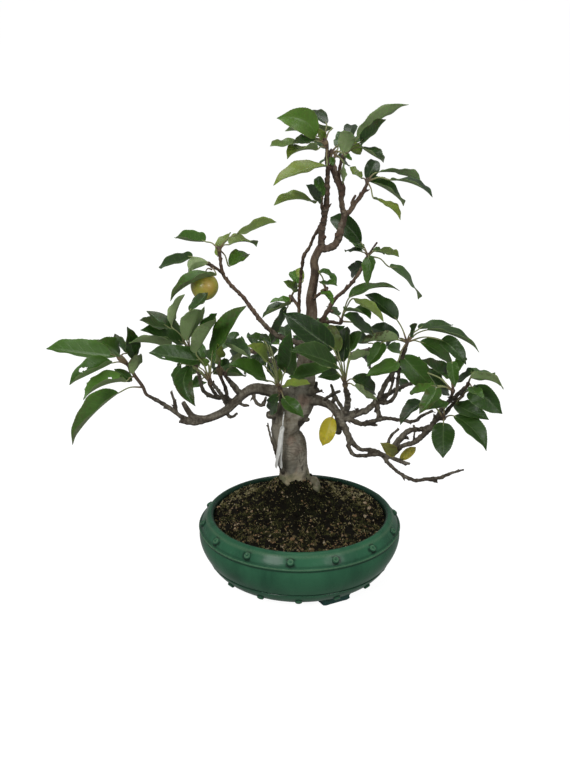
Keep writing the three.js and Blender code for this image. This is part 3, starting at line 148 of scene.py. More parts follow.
class Recipe:
    """The node tree of one material, with the few ways in which nodes are added to it."""

    def __init__(self, name: str) -> None:
        """Starts a material with a Principled shader and nothing else.

        Args:
            name: the material's name.
        """
        self.material = bpy.data.materials.new(name)
        self.material.use_nodes = True
        self.tree = self.material.node_tree
        self.tree.nodes.clear()
        self.shader = self.node("ShaderNodeBsdfPrincipled", {})
        self.node("ShaderNodeOutputMaterial", {"Surface": self.shader.outputs["BSDF"]})

    def feed(self, slot: Socket, given: object) -> None:
        """Feeds an input.

        Args:
            slot: the input.
            given: a value or a socket to link to it, or a number or a colour to set it to.
        """
        if isinstance(given, Value):
            given = given.socket
        if isinstance(given, Socket):
            self.tree.links.new(given, slot)
        else:
            slot.default_value = (*given, 1.0) if slot.type == "RGBA" else given

    def node(self, kind: str, inputs: dict, **settings: object) -> bpy.types.Node:
        """Adds a node.

        Args:
            kind: the node's type.
            inputs: what its inputs are fed with, by name or by place.
            settings: its properties, which are set first.

        Returns:
            The node.
        """
        made = self.tree.nodes.new(kind)
        for name, setting in settings.items():
            setattr(made, name, setting)
        for name, given in inputs.items():
            self.feed(made.inputs[name], given)
        return made

    def value(self, kind: str, output: "str | int", inputs: dict, **settings: object) -> Value:
        """Adds a node and gives one of its outputs."""
        return Value(self, self.node(kind, inputs, **settings).outputs[output])

    def coordinates(self, stretch: Colour = EVEN) -> Socket:
        """Object coordinates, in metres, with a pattern made finer along X, Y and Z by a stretch."""
        place = self.node("ShaderNodeTexCoord", {}).outputs["Object"]
        return self.node("ShaderNodeMapping", {"Vector": place, "Scale": stretch}).outputs["Vector"]

    def along(self, vector: Socket) -> tuple[Value, ...]:
        """Splits a vector into its three numbers."""
        parts = self.node("ShaderNodeSeparateXYZ", {"Vector": vector}).outputs
        return tuple(Value(self, part) for part in parts)

    def attribute(self, name: str) -> Value:
        """A number that the mesh holds at each of its points."""
        return self.value("ShaderNodeAttribute", "Fac", {}, attribute_name=name)

    def noise(self, size_mm: float, detail: float, stretch: Colour = EVEN, warp: float = 0.0) -> Value:
        """Cloudy noise from 0 to 1: the width of its clouds, its finer layers, its stretch and its warp."""
        inputs = {"Vector": self.coordinates(stretch), "Scale": 1.0 / (size_mm * MM)}
        return self.value("ShaderNodeTexNoise", "Fac", {**inputs, "Detail": detail, "Distortion": warp})

    def cells(self, size_mm: float) -> Value:
        """Distance from the middle of the nearest of many random cells."""
        inputs = {"Vector": self.coordinates(), "Scale": 1.0 / (size_mm * MM)}
        return self.value("ShaderNodeTexVoronoi", "Distance", inputs)

    def ramp(self, factor: Value, stops: Sequence[tuple[float, Colour]]) -> Socket:
        """A colour that runs through stops.

        Args:
            factor: where on the ramp.
            stops: places from 0 to 1, each with its colour.

        Returns:
            A colour socket.
        """
        made = self.node("ShaderNodeValToRGB", {"Fac": factor})
        elements = made.color_ramp.elements
        for element, (place, colour) in zip(elements, (stops[0], stops[-1])):
            element.position = place
            element.color = (*colour, 1.0)
        for place, colour in stops[1:-1]:
            elements.new(place).color = (*colour, 1.0)
        return made.outputs["Color"]

    def mix(self, factor: Value, first: "Socket | Colour", second: "Socket | Colour") -> Socket:
        """A blend of two colours: the first where the factor is 0, and the second where it is 1."""
        inputs = {MIX_FACTOR: factor, MIX_FIRST: first, MIX_SECOND: second}
        return self.node("ShaderNodeMix", inputs, data_type="RGBA").outputs[MIX_RESULT]

    def bump(self, height: Value, rise_mm: float, strength: float) -> Socket:
        """A normal that reads as relief, where a height of 1 stands so high and shows so much."""
        inputs = {"Height": height, "Distance": rise_mm * MM, "Strength": strength}
        return self.node("ShaderNodeBump", inputs).outputs["Normal"]

    def finish(self, **inputs: object) -> Material:
        """Sets the shader's inputs.

        Args:
            inputs: what each is fed with, by its name with underscores for spaces.

        Returns:
            The finished material.
        """
        for name, given in inputs.items():
            self.feed(self.shader.inputs[name.replace("_", " ")], given)
        return self.material


# ---------- finishes


@dataclass(frozen=True)
class GlazeFinish:
    """Green glaze: thick and dark where it pools, thin and pale on ridges, with a wet shine; the dark mark
    also paints shade and the pale mark also paints highlights.
    """

    deep: Colour = (0.016, 0.066, 0.036)
    body: Colour = (0.036, 0.134, 0.070)
    thin_and_highlight: Colour = (0.12, 0.21, 0.12)
    pool_and_shade: Colour = (0.011, 0.028, 0.019)
    foot: Colour = (0.008, 0.040, 0.050)
    roughness: float = 0.22

    def material(self) -> Material:
        """Makes the glaze.

        Returns:
            The material; it reads two attributes of its piece: where the glaze is thin, with painted
            highlights, and where it pools, with painted shade.
        """
        r = Recipe("green_glaze")
        runs = r.noise(26.0, 5.0, (1.0, 1.0, 0.35), 0.6)
        height = r.along(r.coordinates())[2]
        speck = r.noise(1.6, 2.0)
        base = r.mix((runs * 0.6 + r.noise(70.0, 3.0) * 0.4).step(0.22, 0.66), self.deep, self.body)
        base = r.mix(height.step(0.016, 0.002) * 0.85, base, self.foot)
        # Dark pooled glaze in recesses, which also paints their shade, and painted shade inside the mouth
        # and at the back of the rim.
        base = r.mix((r.attribute("pool_and_shade") * (0.55 + 0.45 * runs)).step(0.0, 0.95), base, self.pool_and_shade)
        # Pale thin glaze on crests and edges, which also paints their highlights.
        base = r.mix((r.attribute("thin_and_highlight") * (0.35 + 0.9 * speck)).step(0.1, 0.95) * 0.85, base, self.thin_and_highlight)
        relief = r.bump(r.noise(9.0, 3.0) * 0.8 + speck * 0.2, 0.22, 0.5)
        sheen = self.roughness + 0.16 * r.noise(12.0, 4.0).step(0.45, 0.75)
        gloss = {"Specular_IOR_Level": 0.11, "Coat_Weight": 0.05, "Coat_Roughness": 0.05}
        return r.finish(Base_Color=base, Roughness=sheen, Normal=relief, **gloss)


@dataclass(frozen=True)
class BarkFinish:
    """Smooth grey-brown bark, mottled, rosy where it is rubbed, with painted shade in its creases, under its
    slim wood and in two bluish-grey patches, and painted highlights on its raised parts and tops.
    """

    dark: Colour = (0.029, 0.024, 0.017)
    brown: Colour = (0.150, 0.124, 0.080)
    grey: Colour = (0.280, 0.260, 0.206)
    rosy: Colour = (0.24, 0.12, 0.080)
    twig: Colour = (0.044, 0.033, 0.022)
    twig_grey: Colour = (0.130, 0.112, 0.082)
    shoot: Colour = (0.080, 0.044, 0.028)
    shoot_pale: Colour = (0.145, 0.100, 0.062)
    green: Colour = (0.07, 0.085, 0.035)
    earthy: Colour = (0.36, 0.31, 0.19)
    painted_shade_patch: Colour = (0.120, 0.118, 0.092)

    def material(self) -> Material:
        """Makes the bark.

        Returns:
            The material; it reads the attributes that the wood notes on its piece.
        """
        r = Recipe("bark")
        girth, damp = r.attribute("girth"), r.attribute("damp")
        patches = r.noise(17.0, 6.0, (0.8, 0.8, 0.8), 0.5)
        grain = r.noise(3.2, 6.0, (1.0, 1.0, 0.5), 0.3)
        rings = r.noise(2.4, 3.0, (0.35, 0.35, 2.6))
        stops = ((0.18, self.dark), (0.40, self.brown), (0.58, self.grey), (0.78, self.brown))
        old = r.ramp(patches * 0.7 + grain * 0.3, stops)
        old = r.mix(rings.step(0.52, 0.64) * 0.40, old, self.grey)
        old = r.mix(rings.step(0.46, 0.34) * 0.60, old, self.twig_grey)
        old = r.mix(r.noise(22.0, 3.0).step(0.60, 0.74) * girth.step(7.0, 14.0) * 0.7, old, self.rosy)
        mottle = (patches * 0.5 + grain * 0.5).step(0.42, 0.62)
        high = r.along(r.coordinates())[2].step(0.25, 0.33)
        twigs = r.mix(mottle, self.twig, self.twig_grey)
        young = r.mix(high, twigs, r.mix(mottle, self.shoot, self.shoot_pale))
        base = r.mix(girth.step(2.8, 9.0) * (1.0 - 0.75 * high), young, old)
        # Painted shade: a bluish grey over two patches of the trunk.
        base = r.mix(r.attribute("painted_shade_patch") * 0.6, base, self.painted_shade_patch)
        base = r.mix(r.attribute("flush") * 0.35, base, self.rosy)
        # Painted highlight: grey on raised bark, on the upward faces of slim wood and on the crests of
        # growth ridges, with the pale marks.
        base = r.mix(r.attribute("lift") * 0.55, base, self.grey)
        # Painted shade: dark in the hollows of the bark and on the undersides of slim wood.
        base = r.mix(r.attribute("crease_and_underside_shade") * 0.9, base, self.dark)
        base = r.mix((patches * damp).step(0.35, 0.6) * 0.7, base, self.earthy)
        base = r.mix((r.noise(12.0, 4.0) * damp).step(0.4, 0.6) * 0.7, base, self.green)
        relief = r.bump(grain * 0.6 + rings * 0.4, 0.55, 0.8)
        return r.finish(Base_Color=base, Roughness=0.72 + 0.2 * grain, Normal=relief, IOR=1.45)


class Tone(Enum):
    """How dark or yellow a leaf is: a place on the leaf's ramp of colours; the tones also paint light and
    shade, darker ones on leaves in shade and lighter ones on some shaded leaves.
    """

    DEEP = 0.0
    DARK = 0.17
    MID = 0.36
    FRESH = 0.54
    OLIVE = 0.68
    LIME = 0.80
    WITHERED = 0.92
    YELLOW = 1.0


DEEP, DARK, MID, FRESH, OLIVE, LIME, WITHERED, YELLOW = Tone


@dataclass(frozen=True)
class LeafFinish:
    """A leaf's blade: satin above with a sunk net of veins, in a colour for each Tone, and pale below."""

    # One colour for each Tone; the tones also serve as painted light and shade.
    tones: tuple[Colour, ...] = (
        (0.015, 0.036, 0.008), (0.022, 0.054, 0.008), (0.042, 0.102, 0.011), (0.085, 0.190, 0.024),
        (0.105, 0.150, 0.028), (0.210, 0.290, 0.045), (0.170, 0.165, 0.035), (0.500, 0.420, 0.022),
    )
    under: Colour = (0.200, 0.268, 0.112)
    under_yellow: Colour = (0.50, 0.46, 0.08)
    under_vein: Colour = (0.30, 0.36, 0.20)
    vein: Colour = (0.20, 0.30, 0.11)
    brown: Colour = (0.055, 0.028, 0.012)
    vein_pairs: float = 8.0
    vein_slant: float = 0.20
    glow_depth: Colour = (0.002, 0.004, 0.001)

    def material(self) -> Material:
        """Makes the blade.

        Returns:
            The material; it reads the UV map "blade" and the attributes "tone", "under" and "spots".
        """
        r = Recipe("leaf_blade")
        u, v, _ = r.along(r.node("ShaderNodeUVMap", {}, uv_map="blade").outputs["UV"])
        across = abs(v - 0.5) * 2.0
        tone, under = r.attribute("tone"), r.attribute("under")
        wobble = r.noise(9.0, 3.0)
        shade = tone + 0.10 * (wobble - 0.5) + 0.05 * (r.noise(2.2, 3.0) - 0.5)
        stops = [(place.value, colour) for place, colour in zip(Tone, self.tones)]
        top = r.ramp(shade + 0.05 * across.step(0.7, 1.0), stops)
        rib = across.step(0.075, 0.0) * (1.0 - 0.6 * u)
        run = ((u - self.vein_slant * across) * self.vein_pairs + 0.15 * wobble).fraction()
        side_vein = abs(run - 0.5).step(0.10, 0.0) * across.step(1.0, 0.55)
        net = r.cells(1.5).step(0.62, 0.25)
        veins = rib.most(side_vein * 0.5)
        top = r.mix(rib * 0.34 + side_vein * 0.09 + across.step(0.93, 1.0) * 0.30, top, self.vein)
        below = r.mix(tone.step(0.86, 0.97), self.under, self.under_yellow)
        below = r.mix(veins * 0.35 + 0.12 * (1.0 - net), below, self.under_vein)
        rust = (r.noise(4.5, 4.0) + 0.25 * across + 0.45 * (u - 0.7)).step(0.54, 0.66) * r.attribute("spots")
        base = r.mix(rust * 0.85, r.mix(under, top, below), self.brown)
        relief = r.bump(net * 0.35 - veins * 0.9 * (1.0 - 1.6 * under), 0.35, 0.55)
        rough = 0.36 + 0.3 * under + 0.14 * (wobble - 0.5)
        glow = {"Subsurface_Weight": 0.12, "Subsurface_Radius": self.glow_depth, "Subsurface_Scale": 0.5}
        return r.finish(Base_Color=base, Roughness=rough, Normal=relief, IOR=1.42, **glow)


@dataclass(frozen=True)
class StalkFinish:
    """A leaf's stalk and the soft shoot that it grows on: green, flushed with red towards the shoot."""

    green: Colour = (0.25, 0.28, 0.115)
    flushed: Colour = (0.19, 0.135, 0.075)
    woody: Colour = (0.075, 0.048, 0.034)

    def material(self) -> Material:
        """Makes the stalk.

        Returns:
            The material; it reads the attribute "wood": 0 on a stalk's end, 1 on the shoot's foot.
        """
        r = Recipe("leaf_stalk")
        grain = r.noise(4.0, 4.0, (1.0, 1.0, 0.5))
        wood = r.attribute("wood") + 0.25 * (grain - 0.5)
        base = r.ramp(wood, ((0.0, self.green), (0.45, self.flushed), (0.9, self.woody)))
        return r.finish(Base_Color=base, Roughness=0.5 + 0.25 * grain, Normal=r.bump(grain, 0.2, 0.6))


@dataclass(frozen=True)
class GritFinish:
    """Planting mix: dark crumbs with tan, rust and pale granules."""

    ramp: tuple[tuple[float, Colour], ...] = (
        (0.0, (0.004, 0.003, 0.002)), (0.38, (0.008, 0.007, 0.003)), (0.62, (0.030, 0.024, 0.012)),
        (0.76, (0.110, 0.084, 0.042)), (0.86, (0.21, 0.125, 0.062)), (1.0, (0.50, 0.47, 0.35)),
    )

    def material(self) -> Material:
        """Makes the grit.

        Returns:
            The material; it reads the attribute "tone": 0 dark to 1 pale.
        """
        r = Recipe("planting_mix")
        crumb, speck = r.noise(1.5, 5.0), r.noise(5.0, 4.0)
        base = r.ramp(r.attribute("tone") + 0.22 * (speck - 0.5) + 0.16 * (crumb - 0.5), self.ramp)
        relief = r.bump(crumb * 0.7 + speck * 0.3, 0.8, 0.9)
        rough = 0.8 + 0.15 * crumb
        return r.finish(Base_Color=base, Roughness=rough, Normal=relief, Specular_IOR_Level=0.12)


@dataclass(frozen=True)
class MossFinish:
    """Moss: fine green tips, yellower where they are dry, paler towards the back with painted light, and
    near black in the shade of the trunk.
    """

    dark: Colour = (0.010, 0.012, 0.006)
    green: Colour = (0.050, 0.056, 0.018)
    dry_and_lit: Colour = (0.19, 0.165, 0.065)
    bleached_and_lit: Colour = (0.44, 0.40, 0.23)

    def material(self) -> Material:
        """Makes the moss.

        Returns:
            The material; it reads the attribute tone: 0 dark to 1 pale, raised by dryness and by painted
            light.
        """
        r = Recipe("moss")
        tone = r.attribute("tone") + 0.4 * (r.noise(2.0, 3.0) - 0.5)
        base = r.ramp(tone, ((0.0, self.dark), (0.4, self.green), (0.75, self.dry_and_lit), (1.0, self.bleached_and_lit)))
        return r.finish(Base_Color=base, Roughness=0.9, Specular_IOR_Level=0.1)


@dataclass(frozen=True)
class AppleFinish:
    """A crabapple's skin: waxy yellow-green with an orange blush, fine dots and a bloom."""

    ground: Colour = (0.34, 0.35, 0.050)
    yellow: Colour = (0.45, 0.385, 0.065)
    blush: Colour = (0.47, 0.25, 0.055)
    dot: Colour = (0.66, 0.58, 0.30)
    eye: Colour = (0.055, 0.035, 0.015)
    glow_depth: Colour = (0.006, 0.003, 0.001)

    def material(self) -> Material:
        """Makes the skin.

        Returns:
            The material; it reads the attributes "blush" and "eye".
        """
        r = Recipe("apple_skin")
        streak = r.noise(7.0, 5.0, (1.6, 1.6, 0.4), 0.4)
        base = r.mix(r.noise(16.0, 3.0).step(0.35, 0.65), self.ground, self.yellow)
        base = r.mix((r.attribute("blush") + 0.5 * (streak - 0.5)).step(0.2, 0.95) * 0.85, base, self.blush)
        base = r.mix(r.cells(2.2).step(0.16, 0.07) * 0.6, base, self.dot)
        base = r.mix(r.attribute("eye").step(0.3, 1.0), base, self.eye)
        relief, rough = r.bump(r.noise(5.0, 3.0), 0.25, 0.5), 0.33 + 0.12 * streak
        glow = {"Subsurface_Weight": 0.15, "Subsurface_Radius": self.glow_depth, "Subsurface_Scale": 0.5}
        return r.finish(Base_Color=base, Roughness=rough, Normal=relief, Coat_Weight=0.15, **glow)


@dataclass(frozen=True)
class LabelFinish:
    """A thin strip of weathered white plastic, a little clear, scuffed and grimy."""

    clean: Colour = (0.80, 0.80, 0.76)
    grimy: Colour = (0.30, 0.30, 0.25)

    def material(self) -> Material:
        """Makes the strip.

        Returns:
            The material.
        """
        r = Recipe("label_strip")
        grime = r.noise(11.0, 6.0, (1.0, 1.0, 0.4), 0.6)
        scuff = r.noise(2.0, 4.0, (1.0, 1.0, 0.2))
        base = r.mix((grime * 0.7 + scuff * 0.3).step(0.46, 0.72) * 0.8, self.clean, self.grimy)
        relief, rough = r.bump(scuff, 0.12, 0.5), 0.35 + 0.3 * scuff
        return r.finish(Base_Color=base, Roughness=rough, Normal=relief, Transmission_Weight=0.1)


@dataclass(frozen=True)
class StageFinish:
    """A plain pale stage that glows a little, so that shadows on it stay faint."""

    name: str
    paint: float
    glow: float

    def material(self) -> Material:
        """Makes the paint.

        Returns:
            The material.
        """
        paint = (self.paint,) * 3
        glow = {"Emission_Color": (1.0, 1.0, 1.0), "Emission_Strength": self.glow}
        return Recipe(self.name).finish(Base_Color=paint, Roughness=1.0, Specular_IOR_Level=0.0, **glow)


# ---------- the tree's plan


@dataclass(frozen=True)
class Leaf:
    """One leaf on the sheet: the tip and foot of its blade, the width that it shows, and how it lies.

    under shows its underside; spur is the shoot's place that its stalk leaves; full is its real length in
    millimetres; lean is 1 for a tip that points away, and -1 for one that points to the front; arch is
    how far it arches; bow is how far it bulges up the sheet beside the line from foot to tip, where its arch
    doesn't settle that; strip is the share of its width that its near half takes where that stands folded up
    and shows its underside, and it is negative where the leaf's top turns from the sky; root is where its
    stalk starts if that isn't on the shoot; spots is how rusty it is; holes are bites at (along, across,
    size) as shares of the blade.
    """

    tip: Place
    base: Place
    width: float
    tone: Tone
    under: bool = False
    spur: Optional[int] = None
    full: Optional[float] = None
    lean: Optional[float] = None
    arch: Optional[float] = None
    bow: Optional[float] = None
    strip: float = 0.0
    root: Optional[Place] = None
    spots: float = 0.0
    holes: tuple[Place, ...] = ()


@dataclass(frozen=True)
class Spray:
    """A green shoot on the end of a limb: the places that stalks leave it from, and its leaves."""

    name: str
    limb: str
    shoot: tuple[Place, ...]
    leaves: tuple[Leaf, ...]


# A limb runs through places of (across, down, depth, thickness).
TRUNK = (
    (295.5, 499, 30, 46), (295, 486, 30, 42), (294.5, 475, 30, 36.5), (294, 466, 29, 34.5),
    (291.8, 452, 28, 38), (289.8, 442, 26, 38.5), (284.5, 432, 24, 33.5), (286.5, 422, 22, 36),
    (293, 411, 22, 40), (300, 399, 22, 38), (303, 386, 22, 30), (305, 370, 21, 24), (308, 350, 20, 19),
    (310, 330, 19, 15.5), (312, 310, 18, 13), (311, 300, 17, 12), (313, 285, 15, 10.5), (315, 270, 14, 10),
    (314, 262, 13, 9.4), (318, 252, 12, 9), (322, 245, 12, 9),
)

LIMBS = {
    # surface roots, down into the soil
    "root_left": ((287, 469, 22, 10), (283, 475, 18, 7.5), (285.5, 481, 13, 6), (289, 485, 9, 5)),
    "root_right": (
        (302, 474, 25, 10), (309.5, 478.5, 21, 7), (314.5, 480.5, 18, 9.5), (316, 486, 15, 9),
        (315, 492, 12, 7),
    ),
    "root_back": ((296, 462, 38, 18), (299, 470, 54, 14), (301, 480, 68, 8)),
    # stubs and knots on the trunk
    "knot_left": ((282, 413, 20, 14), (274, 414.5, 15, 12), (267.5, 415, 12, 8.5)),
    "knot_right": ((297, 418, 18, 9), (304, 419, 12, 7), (309.5, 420, 10, 4)),
    "knot_upper_right": ((304, 392, 18, 13), (311, 391, 8, 10), (318, 390.5, 4, 7)),
    "snag_upper_right": ((314, 390, 7, 4.4), (316, 386, 5, 4), (316.5, 381.5, 4, 3.4)),
    "dead_sucker": (
        (287, 480, 22, 4), (279.5, 466, 9, 3), (275, 451, 7, 3), (270, 435, 7, 2.6), (267.5, 422.5, 7, 2.2),
    ),
    # crown
    "left_leader": (
        (322, 247, 12, 8), (321, 240, 11, 7.4), (322, 230, 9, 7), (324, 220, 7, 6.6), (326, 210, 5, 6.2),
        (327, 195, 2, 5.8), (327, 180, -1, 5.4), (328, 170, -3, 5), (327, 160, -5, 4.6), (327, 153, -6, 4.2),
    ),
    "right_leader": (
        (320, 249, 12, 8.4), (330, 248, 14, 8), (336, 243, 15, 8), (340, 233, 16, 7.8), (343, 222, 16, 7.4),
        (345, 213, 16, 7.4),
    ),
    "middle_shoot": (
        (345, 216, 16, 6.4), (342, 205, 14, 6), (341, 195, 12, 5.8), (340, 188, 10, 5.6), (334, 175, 7, 5),
        (332, 167, 5, 4.6), (331, 159, 3, 4.2),
    ),
    "middle_arm": ((340.5, 191, 11, 4.6), (339, 174, 13, 4.2), (341, 162.5, 16, 3.8)),
    "crown_back_shoot": ((337, 181, 8, 4.4), (336, 172, 22, 4), (334, 165, 36, 3.8)),
    "right_shoot": (
        (344, 216, 16, 6), (349, 212, 18, 5.6), (354, 205, 21, 5.2), (360, 197, 24, 4.8),
        (364, 191, 26, 4.4), (366, 186, 27, 4),
    ),
    "right_shoot_stub": ((352, 208, 20, 4), (353, 200, 18, 3.6), (356, 195, 17, 3)),
    "crown_left_twig": ((324, 219, 7, 4.4), (322.5, 210, 1, 4), (321.5, 203, -4, 3.6)),
    "slim_shoot": (
        (307, 338, 20, 5.4), (300, 320, 30, 4.4), (299, 302, 36, 4), (300, 288, 36, 4), (302, 266, 32, 3.8),
        (304, 256, 29, 4.2), (309, 248, 25, 3.6), (314, 237, 19, 3.6), (320, 226, 11, 3.6),
        (325, 218, 6, 3.4),
    ),
    "slim_shoot_stub": ((302.5, 259, 30, 3.8), (304.5, 253, 33, 3.2)),
    "slim_shoot_arm": ((299, 308, 35, 4), (297, 304, 40, 4), (294.5, 301, 45, 3.8)),
    "leader_twig": ((313, 299, 16, 4.4), (318, 295, 8, 3.6), (323.5, 291, 4, 3.2)),
    # fruit branch, upper left
    "fruit_branch": (
        (306, 346, 22, 8), (292, 341, 29, 6.6), (280, 337, 34, 6), (268, 328, 39, 5.6), (254, 312, 44, 5),
        (243, 297, 48, 4.6), (231, 285, 52, 4.4), (225, 278, 54, 4.2), (221.5, 268, 55, 4),
        (220, 256, 55, 3.6),
    ),
    "fruit_spur": ((223, 274, 54, 4), (219, 270, 50, 3.8), (215.5, 268, 47, 3.6)),
    # upper right branch
    "upper_right_branch": (
        (310, 336, 20, 7), (322, 320, 27, 5.6), (328, 310, 31, 5), (334, 300, 35, 4.6), (344, 291, 39, 4.4),
        (354, 280, 44, 4.2), (361, 270, 47, 4), (366, 261, 49, 3.8),
    ),
    "upper_right_twig": ((322, 321, 27, 4.4), (331, 322, 24, 4), (338, 323, 21, 3.6)),
    # lower left bough
    "left_bough": (
        (302, 400, 22, 24), (284, 395, 13, 19), (266, 390, 4, 14), (252, 389, -4, 12), (244, 393.5, -8, 11),
        (235, 402, -12, 10.5), (226, 410.5, -14, 10), (215, 416, -16, 9.4), (204, 419, -18, 9),
        (193, 416.5, -20, 7.6), (187, 409, -21, 6.6), (183, 402, -22, 5.4),
    ),
    "left_bough_arm": ((243, 397, -9, 8), (233, 385, -15, 6.4), (227, 378, -19, 5)),
    "left_bough_nub": ((207, 420, -17, 6.4), (194, 423, -21, 5.4), (179, 421.5, -25, 3.8)),
    "left_tip_branch": (
        (197, 420, -19, 6.4), (186, 419, -21, 5.4), (176, 413, -23, 5), (167, 406, -25, 4.8),
        (157, 400.5, -27, 4.6), (149, 396, -29, 4.2),
    ),
    "left_snag": ((177, 414, -23, 4), (175, 403, -26, 3.8), (171, 391.5, -28, 2.8)),
    "left_inner_twig": (
        (233, 407, -12, 5.4), (226, 397, -16, 5), (219, 398, -20, 4.8), (210, 395.5, -24, 4.6),
        (203, 390, -26, 4.4), (200, 378, -25, 4.2), (195, 365, -22, 4), (191, 356, -20, 3.8),
    ),
    "left_fore_twig": ((219, 399, -20, 4.6), (214, 392, -32, 4.2), (210.5, 386, -42, 3.8)),
    "left_upper_twig": ((227, 398, -16, 4.6), (226, 390, -20, 4.4), (222, 380, -24, 3.8)),
    "left_hanging_twig": (
        (255, 390, -2, 5), (254, 397, -6, 4), (258, 404, -9, 4), (262, 405, -10, 4.4), (266, 396.5, -11, 3),
    ),
    "left_back_twig": ((229, 409, -13, 5.4), (224, 399, 14, 4.8), (218, 390, 42, 4.4), (212, 383, 66, 4)),
    # right bough
    "right_bough": (
        (298, 404, 22, 21), (312, 400, 14, 14.5), (324, 402, 7, 11), (333, 407.5, 1, 10.4),
        (339.5, 417, -4, 9.6),
    ),
    "right_stub": ((337, 418, -3, 8), (339, 427, -1, 7), (338.5, 434, 0, 5.6)),
    "right_lower": ((338, 413, -2, 8.4), (342.5, 424, -6, 8), (347, 433, -8, 7.6), (351, 443, -10, 7)),
    "right_strand_front": (
        (350.5, 438, -10, 5), (349, 448, -13, 4.6), (353.5, 454.5, -15, 4.4), (365, 455.5, -16, 4.4),
        (379, 454, -17, 5.4), (393, 458, -19, 5.2), (402, 462, -21, 4.4), (410, 464, -23, 3.4),
    ),
    "right_strand_back": (
        (350.5, 439, -10, 5.6), (356, 446.5, -8, 5.2), (361, 449.5, -9, 4.8), (370, 450, -12, 4.8),
        (381, 452.5, -16, 4.8),
    ),
    "right_low_twig": (
        (381, 454, -17, 4.8), (392, 467, -24, 4), (406, 477, -34, 4.2), (413, 480, -38, 4.4),
        (428, 479, -44, 4), (442, 477, -48, 4.2), (449, 474, -51, 3.6), (464, 469.5, -57, 2.4),
    ),
    "right_outer_arm": (
        (391, 457, -19, 6), (398, 450, -20, 5.6), (405, 445, -22, 5.4), (413, 443, -24, 5.8),
        (421, 437, -27, 6.2), (431, 427, -31, 6.2), (437, 417, -33, 6), (445, 405, -36, 5.4),
        (455, 397, -39, 5), (462, 391, -42, 4.6), (466, 387, -44, 4.2),
    ),
    "right_upper_arm": (
        (389, 455, -18, 7), (396, 443.5, -15, 7.4), (402, 437, -14, 7), (409, 430.5, -15, 6),
        (420, 429.5, -22, 5.2), (432, 426, -31, 5),
    ),
    "right_outer_strand": (
        (437, 420, -33, 5.4), (446, 412.5, -30, 4.8), (452, 405, -27, 4.4), (459, 399, -25, 4),
    ),
    "right_end_spur": ((450, 401, -37, 4.4), (451, 397.5, -43, 4), (452, 394.5, -48, 3.6)),
    "right_low_spur": ((436, 418, -33, 4.6), (439, 418.5, -38, 4.2), (442, 419, -43, 3.8)),
    "right_wire_twig": (
        (388, 450, -17, 4), (388.5, 441, -15, 3.6), (391, 436, -14, 3.4), (399, 428.5, -13, 3),
    ),
    "dry_stalk": ((413, 443, -24, 3), (414.5, 431, -29, 2.4), (414, 425, -30, 3.4)),
    "right_upper_bough": (
        (336, 413, -1, 10), (347, 415, -2, 9), (362, 412, 1, 7.6), (373, 405, 4, 6.8), (379, 397, 6, 6.2),
        (385, 385, 10, 5.8), (392, 374, 13, 5.4), (398, 365, 15, 5.2), (403, 355, 17, 5),
        (406, 347, 18, 4.8),
    ),
    "right_side_strand": (
        (377, 402, 5, 5), (389, 402, 2, 4.6), (396, 394, 3, 4.4), (398, 380, 8, 4.2), (399, 366, 15, 4),
    ),
    "right_mid_strand": ((384, 401, 4, 3.6), (390, 391, 6, 3.4), (394, 377, 12, 3.4)),
    "right_mid_arm": (
        (343, 417, -5, 7), (353, 420.5, -8, 6), (361, 424, -10, 5.6), (372, 421.5, -12, 5.6),
        (383, 418.5, -12, 4.8), (400, 420, -10, 4.2), (415, 421, -10, 4), (421, 416.5, -11, 3.8),
        (433, 410.5, -13, 3),
    ),
    "right_link": ((376, 401, 5, 6), (378, 410, -4, 5.4), (379, 420, -12, 5.4)),
    "right_back_twig": ((378, 401, 5, 6), (390, 393, 32, 5), (402, 387, 56, 4.6), (412, 383, 76, 4)),
    # twigs to the front clusters
    "front_right_twig": (
        (344, 416, -4, 7.4), (347.5, 405, -14, 7), (347.5, 396, -27, 6.4), (346, 389, -38, 5.4),
    ),
    "front_cross_twig": ((321, 402, 8, 5), (331, 395, 1, 4), (340, 391, -10, 3.8)),
    "front_thin_twig": ((343, 410, -8, 4.4), (335, 396, 0, 4), (331, 384, -2, 3.4)),
    "front_thin_link": ((335, 396, 0, 4), (331, 406, 3, 4)),
    "front_left_twig": ((288, 398, 12, 9), (283, 394, -6, 6.6), (281, 392, -18, 5.2)),
    # boughs at the back
    "back_bough": (
        (303, 380, 24, 15), (300, 368, 48, 10), (306, 358, 80, 7.6), (314, 351, 108, 6),
        (321, 347, 128, 4.6),
    ),
    "back_left_arm": ((304, 361, 70, 6.4), (296, 354, 96, 5), (290, 350, 114, 4.2)),
    "back_right_bough": (
        (305, 374, 26, 11), (322, 364, 52, 8), (342, 357, 80, 6.4), (360, 352, 104, 5.4),
        (371, 349, 118, 4.4),
    ),
    "back_left_bough": ((302, 376, 26, 10), (284, 368, 48, 7.4), (268, 360, 70, 5.8), (257, 354, 88, 4.4)),
}
